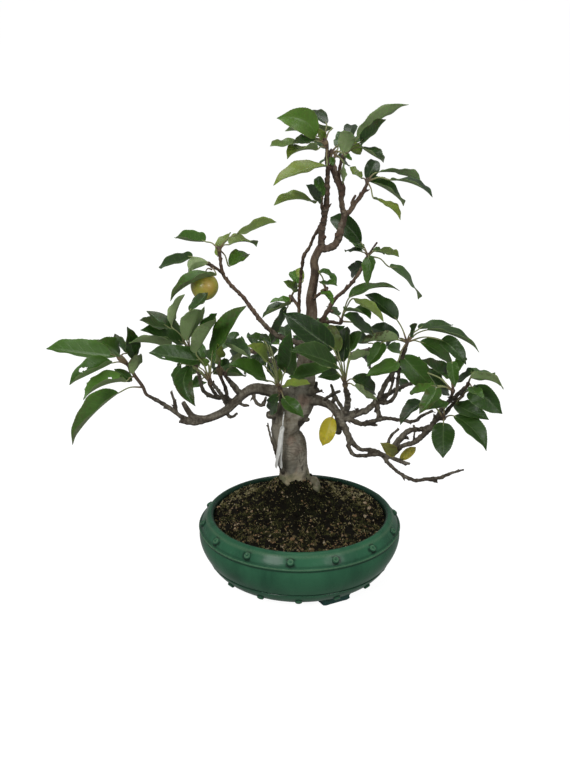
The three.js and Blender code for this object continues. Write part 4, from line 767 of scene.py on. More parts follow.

# A leaf's tone is partly its own colour and partly painted light and shade, set by how lit or shaded the
# leaf should look.
SPRAYS = (
    Spray("left_tip", "left_tip_branch", (
        (143, 387, -30), (135, 376, -31), (128, 365, -32), (119, 357, -33),
    ), (
        Leaf((46, 347), (117, 356.5), 19, MID, spur=3, lean=1, bow=5),
        Leaf((97.7, 340.3), (119.5, 355), 13, MID, spur=3, lean=1, bow=5),
        Leaf((115, 333), (127, 353), 8, DARK, spur=3, full=36),
        Leaf((128, 327), (136, 356), 15, DARK, spur=2, full=44),
        Leaf((128.5, 342), (171, 346), 8.5, FRESH, under=True, spur=2, bow=5.5, root=(189, 350, -19)),
        Leaf(
            (69, 384), (112, 363), 15, MID, spur=2, lean=-1, bow=7.5, strip=0.33,
            holes=((0.62, -0.6, 0.16), (0.56, -0.5, 0.12)),
        ),
        Leaf(
            (83, 399), (126, 381.5), 14, FRESH, spur=1, bow=12, strip=0.3,
            holes=((0.34, -0.37, 0.12), (0.78, -1, 0.16), (0.68, -1.02, 0.12), (0.9, -0.9, 0.2)),
        ),
        # Painted shade: this leaf lies in shade and has a dark tone.
        Leaf((114, 369), (131, 381), 10, DARK, spur=2, full=34, bow=1),
        Leaf((70.8, 443.8), (118.5, 393), 16, MID, spur=0, lean=-1, bow=12, strip=0.18),
        Leaf((137, 354.5), (133, 374), 11, OLIVE, under=True, spur=1, full=34),
    )),
    Spray("left_mid", "left_inner_twig", ((189, 350, -19),), (
        Leaf((141, 329), (182, 343), 12, DARK, bow=4),
        Leaf((140, 319), (166, 326), 8, DARK),
        Leaf((147, 310), (184, 343), 15, DARK, bow=3),
        Leaf((184, 294), (171.5, 326), 8.5, FRESH, under=True, bow=4.5),
        Leaf((201, 308.5), (187, 341), 18, FRESH, under=True, bow=4.5),
        Leaf((207.5, 292), (189.5, 311), 9.5, DARK, full=27, bow=1),
        Leaf((216, 313), (200, 333), 11, DARK, full=46),
    )),
    Spray("left_fore", "left_fore_twig", ((210, 382, -48),), (
        Leaf((149, 352), (201, 361), 18, DARK, bow=3.5, holes=((0.71, 0.5, 0.1),)),
        Leaf((195.5, 406), (190, 366), 18, DARK, bow=-8.5),
        Leaf((172.5, 383), (181, 364), 9, MID, full=38),
        Leaf((214, 318), (196, 353), 13, OLIVE, under=True, bow=4.5),
        Leaf((245, 305), (212, 356), 15, MID, bow=6.5),
        Leaf((198, 358), (208, 364), 8, OLIVE, full=34),
    )),
    Spray("left_upper", "left_upper_twig", ((219, 368, -26),), (
        Leaf((251, 357.5), (221, 341), 12, DARK, bow=4.5, strip=0.4),
        Leaf((218, 344), (220, 358), 11, LIME, full=40),
        Leaf((246, 375.5), (214, 374), 10, MID, bow=4, strip=0.3),
        Leaf((236, 331), (222, 350), 9, MID, lean=1),
    )),
    Spray("left_arm", "left_bough_arm", ((225, 374, -22),), (
        Leaf((208, 349), (220, 366), 10, MID, lean=1),
        Leaf((243, 352), (230, 368), 9, MID, under=True, full=44, lean=1),
    )),
    Spray("left_back", "left_back_twig", ((208, 377, 76),), (
        Leaf((183, 352), (199, 367), 14, DARK),
        Leaf((196, 342), (203, 362), 14, MID),
        Leaf((222, 346), (212, 363), 14, DARK),
        Leaf((178, 374), (197, 373), 12, MID),
        Leaf((230, 362), (217, 370), 12, DARK),
        Leaf((190, 388), (201, 380), 12, MID),
    )),
    Spray("fruit_tip", "fruit_branch", ((219, 249, 54),), (
        Leaf((175, 237), (205, 241.5), 12, MID, bow=4.5, strip=0.2),
        Leaf((230.5, 232), (218, 256), 8, OLIVE, bow=4),
        Leaf((275.8, 220.8), (236.5, 234.4), 8.5, OLIVE, bow=3.5),
        Leaf((256.8, 245.7), (229.6, 244.6), 7, OLIVE, bow=7.5, strip=0.3),
        Leaf((249.5, 254), (230, 266), 13, FRESH, lean=1, bow=5),
    )),
    Spray("fruit_side", "fruit_spur", ((212, 266, 44),), (
        Leaf((158.5, 265.5), (192.5, 257), 11, DARK, bow=2.5),
        Leaf((189, 272), (208, 262), 12, OLIVE, under=True, full=28, lean=-1, bow=5.5),
        Leaf((169.6, 300), (216, 275), 10.5, MID, lean=-1, bow=10, strip=0.45),
        Leaf((187.5, 273), (190.5, 266), 5, DARK, lean=1),
    )),
    Spray("crown_left", "left_leader", ((327, 147, -7), (325, 141, -8)), (
        Leaf((277, 118.5), (316, 136), 25, FRESH, full=46, lean=1, bow=9),
        Leaf((285, 129.5), (332, 128), 8, FRESH, under=True, full=56, lean=-1, bow=2),
        Leaf((310, 110), (326.4, 124), 12, DEEP, lean=1, bow=2),
        Leaf((270, 145), (295.7, 140.6), 7.5, OLIVE, spur=1, bow=0.5),
        Leaf((292.7, 142.4), (315.9, 141), 8, DARK, spur=0, full=40, bow=3),
        Leaf((287, 158), (316, 150), 7.5, OLIVE, spur=0, lean=-1, bow=7.5, strip=0.5),
        Leaf((318, 128), (324, 138), 8, OLIVE, lean=1),
        Leaf((273, 184), (326, 166), 11.5, LIME, spur=0, lean=-1, bow=7.7),
    )),
    Spray("crown_middle", "middle_shoot", ((331, 152, 1),), (
        Leaf((349, 131), (343, 153), 16.5, FRESH, under=True),
        Leaf((351, 124.5), (348, 141), 14, DEEP, lean=1),
        Leaf((343.5, 184), (343.8, 163), 4, OLIVE, under=True, full=30),
        Leaf((333, 166), (331, 157), 6, MID, full=44, lean=-1),
        Leaf((352, 160), (346, 155), 5, MID, full=34, lean=-1),
    )),
    Spray("crown_right", "middle_arm", ((344, 156, 18),), (
        Leaf((408, 103), (358, 138), 10.5, FRESH, under=True, bow=7.5),
        Leaf((385, 119), (361, 142), 11, DARK, bow=2.3),
        Leaf((362, 152), (348, 143), 11, LIME, full=28),
        Leaf((384, 161.5), (361, 147), 8, DARK, bow=3.5, strip=0.3),
        Leaf((366, 133), (351, 143), 8, MID, lean=1),
    )),
    Spray("crown_back", "crown_back_shoot", ((333, 160, 46),), (
        Leaf((318, 138), (327, 149), 12, DARK),
        Leaf((341, 131), (338, 148), 11, MID),
        Leaf((352, 138), (341, 150), 12, DARK),
        Leaf((324, 158), (330, 157), 10, MID),
        Leaf((346, 160), (338, 157), 10, DARK),
    )),
    Spray("crown_low_left", "crown_left_twig", ((321, 198, -8),), (
        Leaf((307, 184.5), (321, 198.5), 10, DEEP, full=46),
        Leaf((274, 204), (315, 203), 8.5, OLIVE, lean=-1, bow=8.5),
        Leaf((318, 176), (322, 198), 11, MID, lean=1),
    )),
    Spray("upper_shoot", "right_shoot", ((367, 181, 28),), (
        Leaf((376, 160), (367, 180), 15, DEEP, full=40),
        Leaf((421, 180), (379, 172), 6, OLIVE, under=True, bow=6),
        Leaf((433, 196), (391, 180), 5.5, DEEP, bow=7, strip=0.3),
        Leaf((404.5, 205), (368, 181), 9.5, DARK, bow=8, strip=0.35),
        Leaf((352, 166), (361, 178), 7, LIME, full=36),
        Leaf((401, 219), (374, 198.5), 6, LIME, lean=-1, bow=5.5),
    )),
    Spray("upper_right", "upper_right_branch", ((368, 256, 50),), (
        Leaf((330, 217), (361, 243), 19.5, DARK, lean=1, bow=3.8),
        Leaf((345, 251.5), (362, 252), 4.5, DEEP, full=36, bow=3.5),
        Leaf((367, 285), (369, 257), 12, MID, lean=-1),
        Leaf((350, 272), (363, 263), 13, DEEP),
        Leaf((383, 250), (373, 251), 7, MID, full=36),
        Leaf((399, 256), (379, 251), 7, OLIVE, bow=3),
        Leaf((419.5, 298.5), (390, 267), 5, MID, arch=0.25, bow=7),
        Leaf((354, 240), (363, 249), 9, MID, lean=1),
    )),
    Spray("right_inner_high", "upper_right_twig", ((341, 321, 19),), (
        Leaf((400, 289.5), (349, 298), 7, MID, arch=0.16, bow=9.4),
        Leaf((384, 320.6), (353, 298.6), 8, OLIVE, lean=-1, arch=0.16, bow=4),
        Leaf((370.8, 318), (346, 311), 7, MID, lean=-1, arch=0.2, bow=6, strip=0.4),
        Leaf((344, 314), (373, 333), 11, DARK, spur=0, lean=-1, bow=2),
        Leaf((331, 306), (338, 316), 9, MID, lean=1),
    )),
    Spray("leader_left", "slim_shoot_arm", ((291, 297, 51),), (
        Leaf((284, 281), (297, 288), 9, OLIVE, full=34),
        Leaf((291, 271), (300, 284), 9, FRESH, full=36, lean=-1),
        Leaf((298, 268), (303, 280), 8, LIME, full=40),
        Leaf((270, 302), (292, 302), 5.5, FRESH, full=36, bow=3),
        Leaf((262, 317), (290, 304), 7, DARK, full=44, lean=-1, bow=4, strip=0.45),
        Leaf((270, 344), (287, 308), 9, DARK, lean=-1, arch=0.2, bow=2),
    )),
    Spray("leader_fore", "leader_twig", ((326, 289, 2),), (
        Leaf((337, 283), (319, 271), 6, MID, full=34, bow=4),
        Leaf((337.5, 285.5), (320, 282), 4.5, MID, full=34, bow=2),
        Leaf((333, 304), (321, 291), 6.5, FRESH, full=34, bow=3),
        Leaf((333, 302), (329, 294), 6, FRESH, full=30),
    )),
    Spray("back_centre", "back_bough", ((324, 345, 138),), (
        Leaf((300, 326), (315, 337), 14, DARK),
        Leaf((322, 318), (322, 335), 15, MID),
        Leaf((344, 326), (332, 338), 14, DARK),
        Leaf((306, 352), (317, 347), 12, MID),
        Leaf((316, 368), (321, 353), 12, DARK),
    )),
    Spray("back_left", "back_left_arm", ((287, 348, 124),), (
        Leaf((268, 336), (279, 344), 13, MID),
        Leaf((284, 326), (286, 340), 14, DARK),
        Leaf((303, 338), (295, 344), 12, MID),
        Leaf((266, 354), (278, 350), 12, DARK),
        Leaf((277, 371), (284, 356), 12, MID),
    )),
    Spray("back_right", "back_right_bough", ((377, 347, 127),), (
        Leaf((358, 336), (368, 343), 13, DARK),
        Leaf((376, 330), (377, 340), 13, MID),
        Leaf((394, 333), (386, 341), 13, DARK),
        Leaf((400, 350), (387, 348), 12, MID),
        Leaf((368, 364), (373, 353), 12, DARK),
    )),
    Spray("back_left_bough", "back_left_bough", ((252, 351, 97),), (
        Leaf((236, 341), (245, 347), 12, MID),
        Leaf((252, 336), (253, 345), 12, DARK),
        Leaf((266, 344), (260, 348), 12, MID),
        Leaf((232, 356), (243, 353), 12, DARK),
        Leaf((244, 370), (249, 358), 12, MID),
    )),
    Spray("right_far_back", "right_back_twig", ((417, 380, 84),), (
        Leaf((402, 366), (410, 374), 13, DARK),
        Leaf((422, 360), (419, 372), 13, MID),
        Leaf((438, 372), (427, 377), 12, DARK),
        Leaf((400, 386), (409, 383), 12, MID),
        Leaf((436, 390), (426, 385), 12, DARK),
    )),
    Spray("front_left", "front_left_twig", ((280, 389, -28),), (
        Leaf((290, 332), (285.5, 370), 20, DARK),
        Leaf((248, 345), (268, 362), 10.5, LIME, bow=5),
        Leaf((230, 363.5), (266, 380), 15, MID, lean=-1, bow=6),
        Leaf((253, 354), (265, 366), 8, DARK, full=40, lean=1),
        Leaf((304, 417), (283.5, 397.5), 13.5, MID, full=46),
        Leaf((268.5, 410), (279, 395), 13.5, DARK, full=42),
        Leaf((310, 383), (284, 385.5), 8, LIME, full=46, bow=2),
        Leaf((279, 368), (278, 386), 7, LIME, full=36, lean=1),
        Leaf((270, 362), (275, 380), 9, DARK, full=40),
        Leaf((262, 333), (270, 347), 8, DARK, lean=1),
        Leaf((249, 334.6), (264, 341), 7, MID, full=42, lean=1, bow=1.5),
    )),
    Spray("front_right", "front_right_twig", ((345, 384, -48),), (
        Leaf((284, 312.7), (333, 349), 25, DEEP, lean=1, bow=1.5),
        Leaf((291, 350), (337, 366), 19, DARK, bow=6),
        Leaf((288, 376), (332, 368), 14, MID, bow=2),
        Leaf((347, 326), (344, 362), 15, DEEP, lean=1, bow=3),
        Leaf((318, 377), (337.5, 373.5), 12, DARK, full=40),
        Leaf((375.5, 392), (352, 379), 16, DARK, bow=4),
        Leaf((378, 399), (355, 386), 6, OLIVE, under=True),
        Leaf((366, 350), (350, 360), 10, FRESH, under=True, full=42),
        Leaf((330, 324), (338, 352), 15, OLIVE, lean=1),
        Leaf((357, 330), (350, 352), 12, MID, lean=1),
    )),
    Spray("right_upper", "right_upper_bough", ((407, 342, 19),), (
        Leaf((365, 294), (397, 320), 14, DARK, lean=1, bow=5),
        Leaf((369, 327), (399, 338), 15, DEEP, full=44, lean=1, bow=2),
        Leaf((361, 342), (398, 340), 10, FRESH, under=True, full=44, lean=-1, arch=0.14, bow=5, spots=0.9),
        Leaf((416.5, 323.5), (410.5, 333), 7, DARK, full=36),
        Leaf((453, 324), (419, 329), 8, DARK, lean=1, arch=0.18, bow=3),
        Leaf((480, 351), (427, 330), 7.5, DARK, lean=-1, arch=0.16, bow=8.5, strip=0.45),
        Leaf((451.5, 370), (420, 342), 13, MID, arch=0.16, bow=8),
        Leaf((433, 388), (402, 356), 24, MID, lean=-1),
        Leaf((366, 375), (397, 362), 14, FRESH, lean=-1),
        Leaf((367, 366), (382, 343), 14, MID),
        Leaf((466, 364), (441, 340), 16, DARK, arch=0.14, bow=4),
    )),
    Spray("right_outer", "right_end_spur", ((453, 391, -52),), (
        Leaf((423, 359), (448, 371), 13, DARK),
        Leaf((455, 387), (452, 362), 12, MID, full=44),
        Leaf((410, 390), (434, 386), 10, FRESH),
        Leaf((419, 413), (437, 388), 15, MID),
        Leaf((450, 391), (428, 373), 13, DARK, lean=1),
        Leaf((462, 356), (455, 374), 11, MID, lean=1),
    )),
    Spray("right_end", "right_outer_arm", ((468, 384, -47),), (
        Leaf((453, 385), (474, 372.5), 7, DARK, arch=0.12, bow=3.5),
        Leaf((504, 388.5), (471, 378), 7.5, FRESH, under=True, arch=0.2, bow=7),
        Leaf((493, 373), (473, 373), 5.5, MID, lean=1, bow=2),
        Leaf((484, 398), (472, 387), 9, MID, full=44, lean=-1),
    )),
    Spray("right_drop", "right_outer_strand", ((462, 396, -24),), (
        Leaf((502, 413.7), (470, 391), 23, DARK, arch=0.2, bow=3),
        Leaf((489, 419), (456, 404), 15, DARK, lean=-1, arch=0.14, bow=1),
        Leaf((472, 386), (466, 391.5), 4, DARK, full=38),
    )),
    Spray("right_low", "right_low_spur", ((444, 418, -48),), (
        Leaf((487, 450.5), (454, 416), 17, DARK, arch=0.08, bow=7),
        Leaf((443, 457.7), (443.4, 423), 23, DARK),
        Leaf((400, 424), (423, 401.5), 12, DEEP, lean=1, bow=4.8),
        Leaf((421, 409), (444, 401), 11, MID, lean=-1),
    )),
)

# Stubs too small to carry anything.
STUBS = {
    "snag_side": ((316, 391.5, 5, 4), (319, 391.5, 2, 3.4), (322.5, 390.5, 0, 2.8)),
    "crown_stub": ((342, 200, 13, 4), (344, 188, 10, 3.6), (342, 181, 8, 3)),
    "leader_nub_left": ((322, 241, 11, 4.6), (325.5, 236.5, 6, 3.6)),
    "leader_nub_right": ((340, 235, 15, 4.6), (335.5, 236, 10, 3.6)),
    "upper_right_knob": ((328, 311, 31, 4.4), (333.5, 311, 28, 3.8)),
    "left_stub_one": ((237, 401, -11, 4.4), (243, 405, -13, 3.8), (249.5, 405.5, -14, 3)),
    "left_stub_two": ((225, 410, -14, 4.4), (231, 417, -16, 3.8), (237.5, 413, -18, 3)),
    "right_low_nub": ((428, 479.5, -44, 4), (437.5, 481.5, -45, 3.2)),
    "right_arm_stub": ((401, 438, -14, 4.8), (408.5, 437.5, -12, 3.4)),
    "right_stub_up": ((357, 415, 0, 4), (358, 408, -2, 2.8)),
    "right_stub_side": ((366, 424, -11, 4.4), (377.5, 425, -12, 3)),
    "upper_right_tip": ((368, 256, 50, 2.8), (373, 248, 48, 2.4), (377.5, 242, 47, 2.6)),
}

# Leaves that hang alone: the node, where its stalk starts, and the leaf.
LONE_LEAVES = (
    ("yellow_leaf", (335, 412, -3),
     Leaf((322.5, 446), (332, 417), 16.5, YELLOW, full=32, arch=0.04, spots=0.2)),
    ("withered_leaf_left", (395, 453, -20),
     Leaf((380.5, 443), (396, 453.5), 11.5, WITHERED, full=20, arch=0.1, spots=0.35)),
    ("withered_leaf_right", (399, 460, -20),
     Leaf((416, 447), (400, 459.5), 9.5, WITHERED, full=20, arch=0.1, spots=0.35)),
)

@dataclass(frozen=True)
class Sheet:
    """The front elevation sheet, and the eye that it is drawn from."""

    centre_across: float = 285.0
    centre_down: float = 380.0
    focal: float = 1383.0
    eye: Place = (-17.4, -1500.0, 805.0)
    look_down: float = math.radians(20.35)

    def point(self, place: Place) -> Rows:
        """The point of the tree at a place on the sheet.

        Args:
            place: across and down on the sheet, and the depth behind the pot's axis; the rest is ignored.

        Returns:
            The point.
        """
        rise = self.centre_down - place[1]
        sine, cosine = math.sin(self.look_down), math.cos(self.look_down)
        ahead = rise * sine + self.focal * cosine
        ray = np.array([place[0] - self.centre_across, ahead, rise * cosine - self.focal * sine])
        return np.array(self.eye) + ray * (place[2] - self.eye[1]) / ray[1]

    def unit(self, point: Rows) -> float:
        """Millimetres at a point for one unit of the sheet."""
        away = point - np.array(self.eye)
        return (away[1] * math.cos(self.look_down) - away[2] * math.sin(self.look_down)) / self.focal

    def limb(self, places: Sequence[Place]) -> Rows:
        """Rows of x, y, z and radius through a limb's places."""
        return np.array([[*self.point(place), place[3] / 2] for place in places])


def seeded_numbers(seed: int) -> Callable[[], float]:
    """A seeded stream of numbers from 0 to 1, the same as the solids are drawn with.

    Args:
        seed: where the stream starts.

    Returns:
        A function that gives the next number.
    """
    factor, step, size = 1664525, 1013904223, 2**32
    state = seed

    def draw() -> float:
        """Draws.

        Returns:
            The next number.
        """
        nonlocal state
        state = (state * factor + step) % size
        return state / size

    return draw


def unit(vector: Rows) -> Rows:
    """A vector at length 1."""
    return vector / np.linalg.norm(vector)


def units(rows: Rows) -> Rows:
    """Rows of vectors, each at length 1."""
    return rows / np.linalg.norm(rows, axis=1)[:, None]


def flat(x: Rows, y: Rows) -> Rows:
    """Points at height 0."""
    return np.column_stack((x, y, np.zeros_like(x)))


def run_along(rows: Rows) -> Rows:
    """How far along a path each of its rows is."""
    return np.concatenate(([0.0], np.cumsum(np.linalg.norm(np.diff(rows[:, :3], axis=0), axis=1))))


def smooth_path(rows: Rows, step: float) -> Rows:
    """A smooth run through rows of numbers, the first three of which are a place.

    Args:
        rows: what the run passes through.
        step: how far apart the new rows are.

    Returns:
        The new rows.
    """
    marks = run_along(rows)
    slopes = np.gradient(rows, marks, axis=0)
    at = np.linspace(0.0, marks[-1], max(2, math.ceil(marks[-1] / step) + 1))
    k = np.clip(np.searchsorted(marks, at, side="right") - 1, 0, len(marks) - 2)
    gap = (marks[k + 1] - marks[k])[:, None]
    t = (at - marks[k])[:, None] / gap
    return (
        (2 * t**3 - 3 * t**2 + 1) * rows[k]
        + (t**3 - 2 * t**2 + t) * gap * slopes[k]
        + (3 * t**2 - 2 * t**3) * rows[k + 1]
        + (t**3 - t**2) * gap * slopes[k + 1]
    )


def smooth_section(section: Sequence[Place], step: float) -> Rows:
    """A smooth run through places of (across, up), without a depth."""
    return smooth_path(np.array([(across, 0.0, up) for across, up in section], float), step)[:, [0, 2]]


def fade(values: Rows, low: float, high: float) -> Rows:
    """A smooth step from 0 at low to 1 at high."""
    t = np.clip((values - low) / (high - low), 0.0, 1.0)
    return t * t * (3 - 2 * t)


def hump(values: Rows, middle: float, width: float) -> Rows:
    """A round hump: 1 in the middle, and next to nothing at two widths from it."""
    return np.exp(-(((values - middle) / width) ** 2))


def cloud(points: Rows, size: float, octaves: int = 3, seed: float = 0.0) -> Rows:
    """Cloudy noise at points, about -1 to 1, in layers from a size down; a seed gives other clouds."""
    scaled = points / size + seed
    return np.array([noise.fractal(Vector(p), 1.0, 2.0, octaves) for p in scaled])


def tilt_to(direction: Sequence[float]) -> Rows:
    """The matrix that tilts +Z to a direction."""
    return np.array(Vector(UP).rotation_difference(Vector(direction)).to_matrix())


def tree_of(points: Sequence[Sequence[float]]) -> kdtree.KDTree:
    """Makes points ready to be searched for the nearest.

    Args:
        points: the points.

    Returns:
        A tree of them.
    """
    tree = kdtree.KDTree(len(points))
    for index, point in enumerate(points):
        tree.insert(Vector(point), index)
    tree.balance()
    return tree


# ---------- the bench


def choose(*pieces: Piece) -> None:
    """Selects pieces alone.

    Args:
        pieces: the pieces; the last one is active.
    """
    bpy.ops.object.select_all(action="DESELECT")
    for piece in pieces:
        piece.select_set(True)
    bpy.context.view_layer.objects.active = pieces[-1]


def added(name: str) -> Piece:
    """Names the piece that an operator has just added, and lays its place into its mesh.

    Args:
        name: the piece's name.

    Returns:
        The piece.
    """
    piece = bpy.context.active_object
    piece.name = name
    piece.data.transform(piece.matrix_world)
    piece.matrix_world = Matrix.Identity(4)
    return piece


def placed(name: str, data: bpy.types.ID) -> Piece:
    """Puts a mesh, curve, lamp or camera in the scene.

    Args:
        name: the piece's name.
        data: what it is.

    Returns:
        The piece.
    """
    piece = bpy.data.objects.new(name, data)
    bpy.context.scene.collection.objects.link(piece)
    return piece


def copied(piece: Piece, points: Rows) -> Piece:
    """Copies a piece.

    Args:
        piece: the piece.
        points: where the copy's vertices go.

    Returns:
        The copy.
    """
    copy = placed(piece.name, piece.data.copy())
    move(copy, points)
    return copy


def modify(piece: Piece, kind: str, **settings: object) -> None:
    """Adds a modifier with its settings, and applies it.

    Args:
        piece: the piece.
        kind: the modifier's type.
        settings: its properties.
    """
    modifier = piece.modifiers.new(kind.title(), kind)
    for name, setting in settings.items():
        setattr(modifier, name, setting)
    choose(piece)
    bpy.ops.object.modifier_apply(modifier=modifier.name)


def join(name: str, pieces: Sequence[Piece]) -> Piece:
    """Makes one piece of several.

    Args:
        name: the new piece's name.
        pieces: the pieces, at least one.

    Returns:
        The new piece.
    """
    choose(*pieces)
    if len(pieces) > 1:
        bpy.ops.object.join()
    joined = bpy.context.active_object
    joined.name = name
    return joined


def vectors_of(items: bpy.types.bpy_prop_collection, key: str) -> Rows:
    """Reads a vector from each vertex.

    Args:
        items: the mesh's vertices or their normals.
        key: the vector's name.

    Returns:
        A row for each vertex.
    """
    numbers = np.empty(len(items) * 3, np.float32)
    items.foreach_get(key, numbers)
    return numbers.reshape(-1, 3).astype(float)


def points_of(piece: Piece) -> Rows:
    """Where the piece's vertices are."""
    return vectors_of(piece.data.vertices, "co")


def move(piece: Piece, points: Rows) -> None:
    """Puts the piece's vertices at points."""
    piece.data.vertices.foreach_set("co", points.astype(np.float32).ravel())
    piece.data.update()


def note(piece: Piece, name: str, values: "Rows | float") -> None:
    """Writes a number at each vertex, for a material to read.

    Args:
        piece: the piece.
        name: the attribute's name.
        values: one number for each vertex, or one for all.
    """
    attribute = piece.data.attributes.new(name, "FLOAT", "POINT")
    full = np.broadcast_to(np.asarray(values, np.float32), (len(piece.data.vertices),))
    attribute.data.foreach_set("value", np.ascontiguousarray(full))


def mesh(name: str, points: Rows, faces: Sequence, edges: Sequence = ()) -> Piece:
    """Makes a piece of bare numbers.

    Args:
        name: the piece's name.
        points: its vertices.
        faces: its faces, by vertex.
        edges: its loose edges, by vertex.

    Returns:
        The piece.
    """
    data = bpy.data.meshes.new(name)
    data.from_pydata(points.tolist(), edges, faces)
    return placed(name, data)


def tubes(name: str, strands: Sequence[Rows], sides: int = 8) -> Piece:
    """Round tubes along strands, as one mesh.

    Args:
        name: the piece's name.
        strands: rows of x, y, z and radius for each tube.
        sides: how many sides a tube has, an even number from 4.

    Returns:
        The piece.
    """
    curve = bpy.data.curves.new(name, "CURVE")
    curve.dimensions = "3D"
    curve.bevel_depth = 1.0
    curve.bevel_resolution = (sides - 4) // 2
    curve.use_fill_caps = True
    for strand in strands:
        spline = curve.splines.new("POLY")
        spline.points.add(len(strand) - 1)
        spline.points.foreach_set("co", np.column_stack((strand[:, :3], np.ones(len(strand)))).ravel())
        spline.points.foreach_set("radius", strand[:, 3])
    choose(placed(name, curve))
    bpy.ops.object.convert(target="MESH")
    return bpy.context.active_object


def turned(name: str, outline: Rows, segments: int) -> Piece:
    """A piece turned about Z.

    Args:
        name: the piece's name.
        outline: rows of radius and height; it starts and ends on the axis, or closes on itself.
        segments: how many steps the turn has.

    Returns:
        The piece, with its faces pointing out.
    """
    points = np.column_stack((outline[:, 0], np.zeros(len(outline)), outline[:, 1]))
    piece = mesh(name, points, (), [(k, k + 1) for k in range(len(points) - 1)])
    choose(piece)
    bpy.ops.object.mode_set(mode="EDIT")
    bpy.ops.mesh.select_all(action="SELECT")
    bpy.ops.mesh.spin(steps=segments, angle=TURN, center=(0, 0, 0), axis=(0, 0, 1))
    bpy.ops.mesh.select_all(action="SELECT")
    bpy.ops.mesh.remove_doubles(threshold=1e-3)
    bpy.ops.mesh.normals_make_consistent(inside=False)
    bpy.ops.object.mode_set(mode="OBJECT")
    return piece


def scatter(name: str, pattern: Piece, places: Rows, turns: Rows, tones: Rows) -> Piece:
    """Many copies of a small piece, as one mesh with a tone for each copy. The pattern is used up.

    Args:
        name: the new piece's name.
        pattern: the piece that is copied.
        places: where each copy goes.
        turns: a 3 by 3 matrix for each copy, which turns and scales it.
        tones: a number from 0 to 1 for each copy.

    Returns:
        The piece.
    """
    shape = points_of(pattern)
    faces = np.array([list(face.vertices) for face in pattern.data.polygons])
    points = np.einsum("nij,kj->nki", turns, shape) + places[:, None, :]
    faces = faces[None] + np.arange(len(places))[:, None, None] * len(shape)
    piece = mesh(name, points.reshape(-1, 3), faces.reshape(-1, faces.shape[2]).tolist())
    note(piece, "tone", np.repeat(tones, len(shape)))
    bpy.data.objects.remove(pattern)
    return piece


def paint(piece: Piece, material: Material, degrees: float = 0.0) -> None:
    """Gives a piece its one material.

    Args:
        piece: the piece.
        material: the material.
        degrees: faces that meet at less than this are shaded smooth.
    """
    piece.data.materials.clear()
    piece.data.materials.append(material)
    if degrees:
        smooth(piece, degrees)


def smooth(piece: Piece, degrees: float) -> None:
    """Shades a piece smooth, with an edge kept where its faces turn by more than an angle."""
    choose(piece)
    bpy.ops.object.shade_smooth_by_angle(angle=math.radians(degrees))


@dataclass
class Setting:
    """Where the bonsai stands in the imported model's frame, and the pieces that are finished."""

    axis: Vector
    sheet: Sheet = Sheet()
    finished: list[Piece] = field(default_factory=list)

    def into_frame(self) -> Matrix:
        """From millimetres about the pot's axis to the frame."""
        return Matrix.Translation(self.axis) @ Matrix.Scale(MM, 4)

    def from_node(self, node: str) -> kdtree.KDTree:
        """The corners of a node's solid, in millimetres about the pot's axis, ready to be searched."""
        back = self.into_frame().inverted()
        return tree_of([back @ corner.co for corner in bpy.data.objects[node].data.vertices])

    def path(self, places: Sequence[Place], radii: Sequence[float], step: float) -> Rows:
        """A smooth run through places on the sheet, with a radius or a turn at each."""
        return smooth_path(np.array([(*self.sheet.point(p), r) for p, r in zip(places, radii)]), step)

    def settle(self, piece: Piece, slot: str, *nodes: str) -> None:
        """Sets a finished piece down in the frame, on the body of the solids that it stands for.

        Args:
            piece: the piece, in millimetres.
            slot: a name for the piece's finish; not used.
            nodes: the solids that it stands for.
        """
        piece.data.transform(self.into_frame())
        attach(piece, "root")
        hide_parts(*nodes)
        self.finished.append(piece)


# ---------- pot


@dataclass(frozen=True)
class StudRow:
    """One row of studs round the pot."""

    ring_radius: float
    ring_height: float
    face_tilt: float
    turn: float


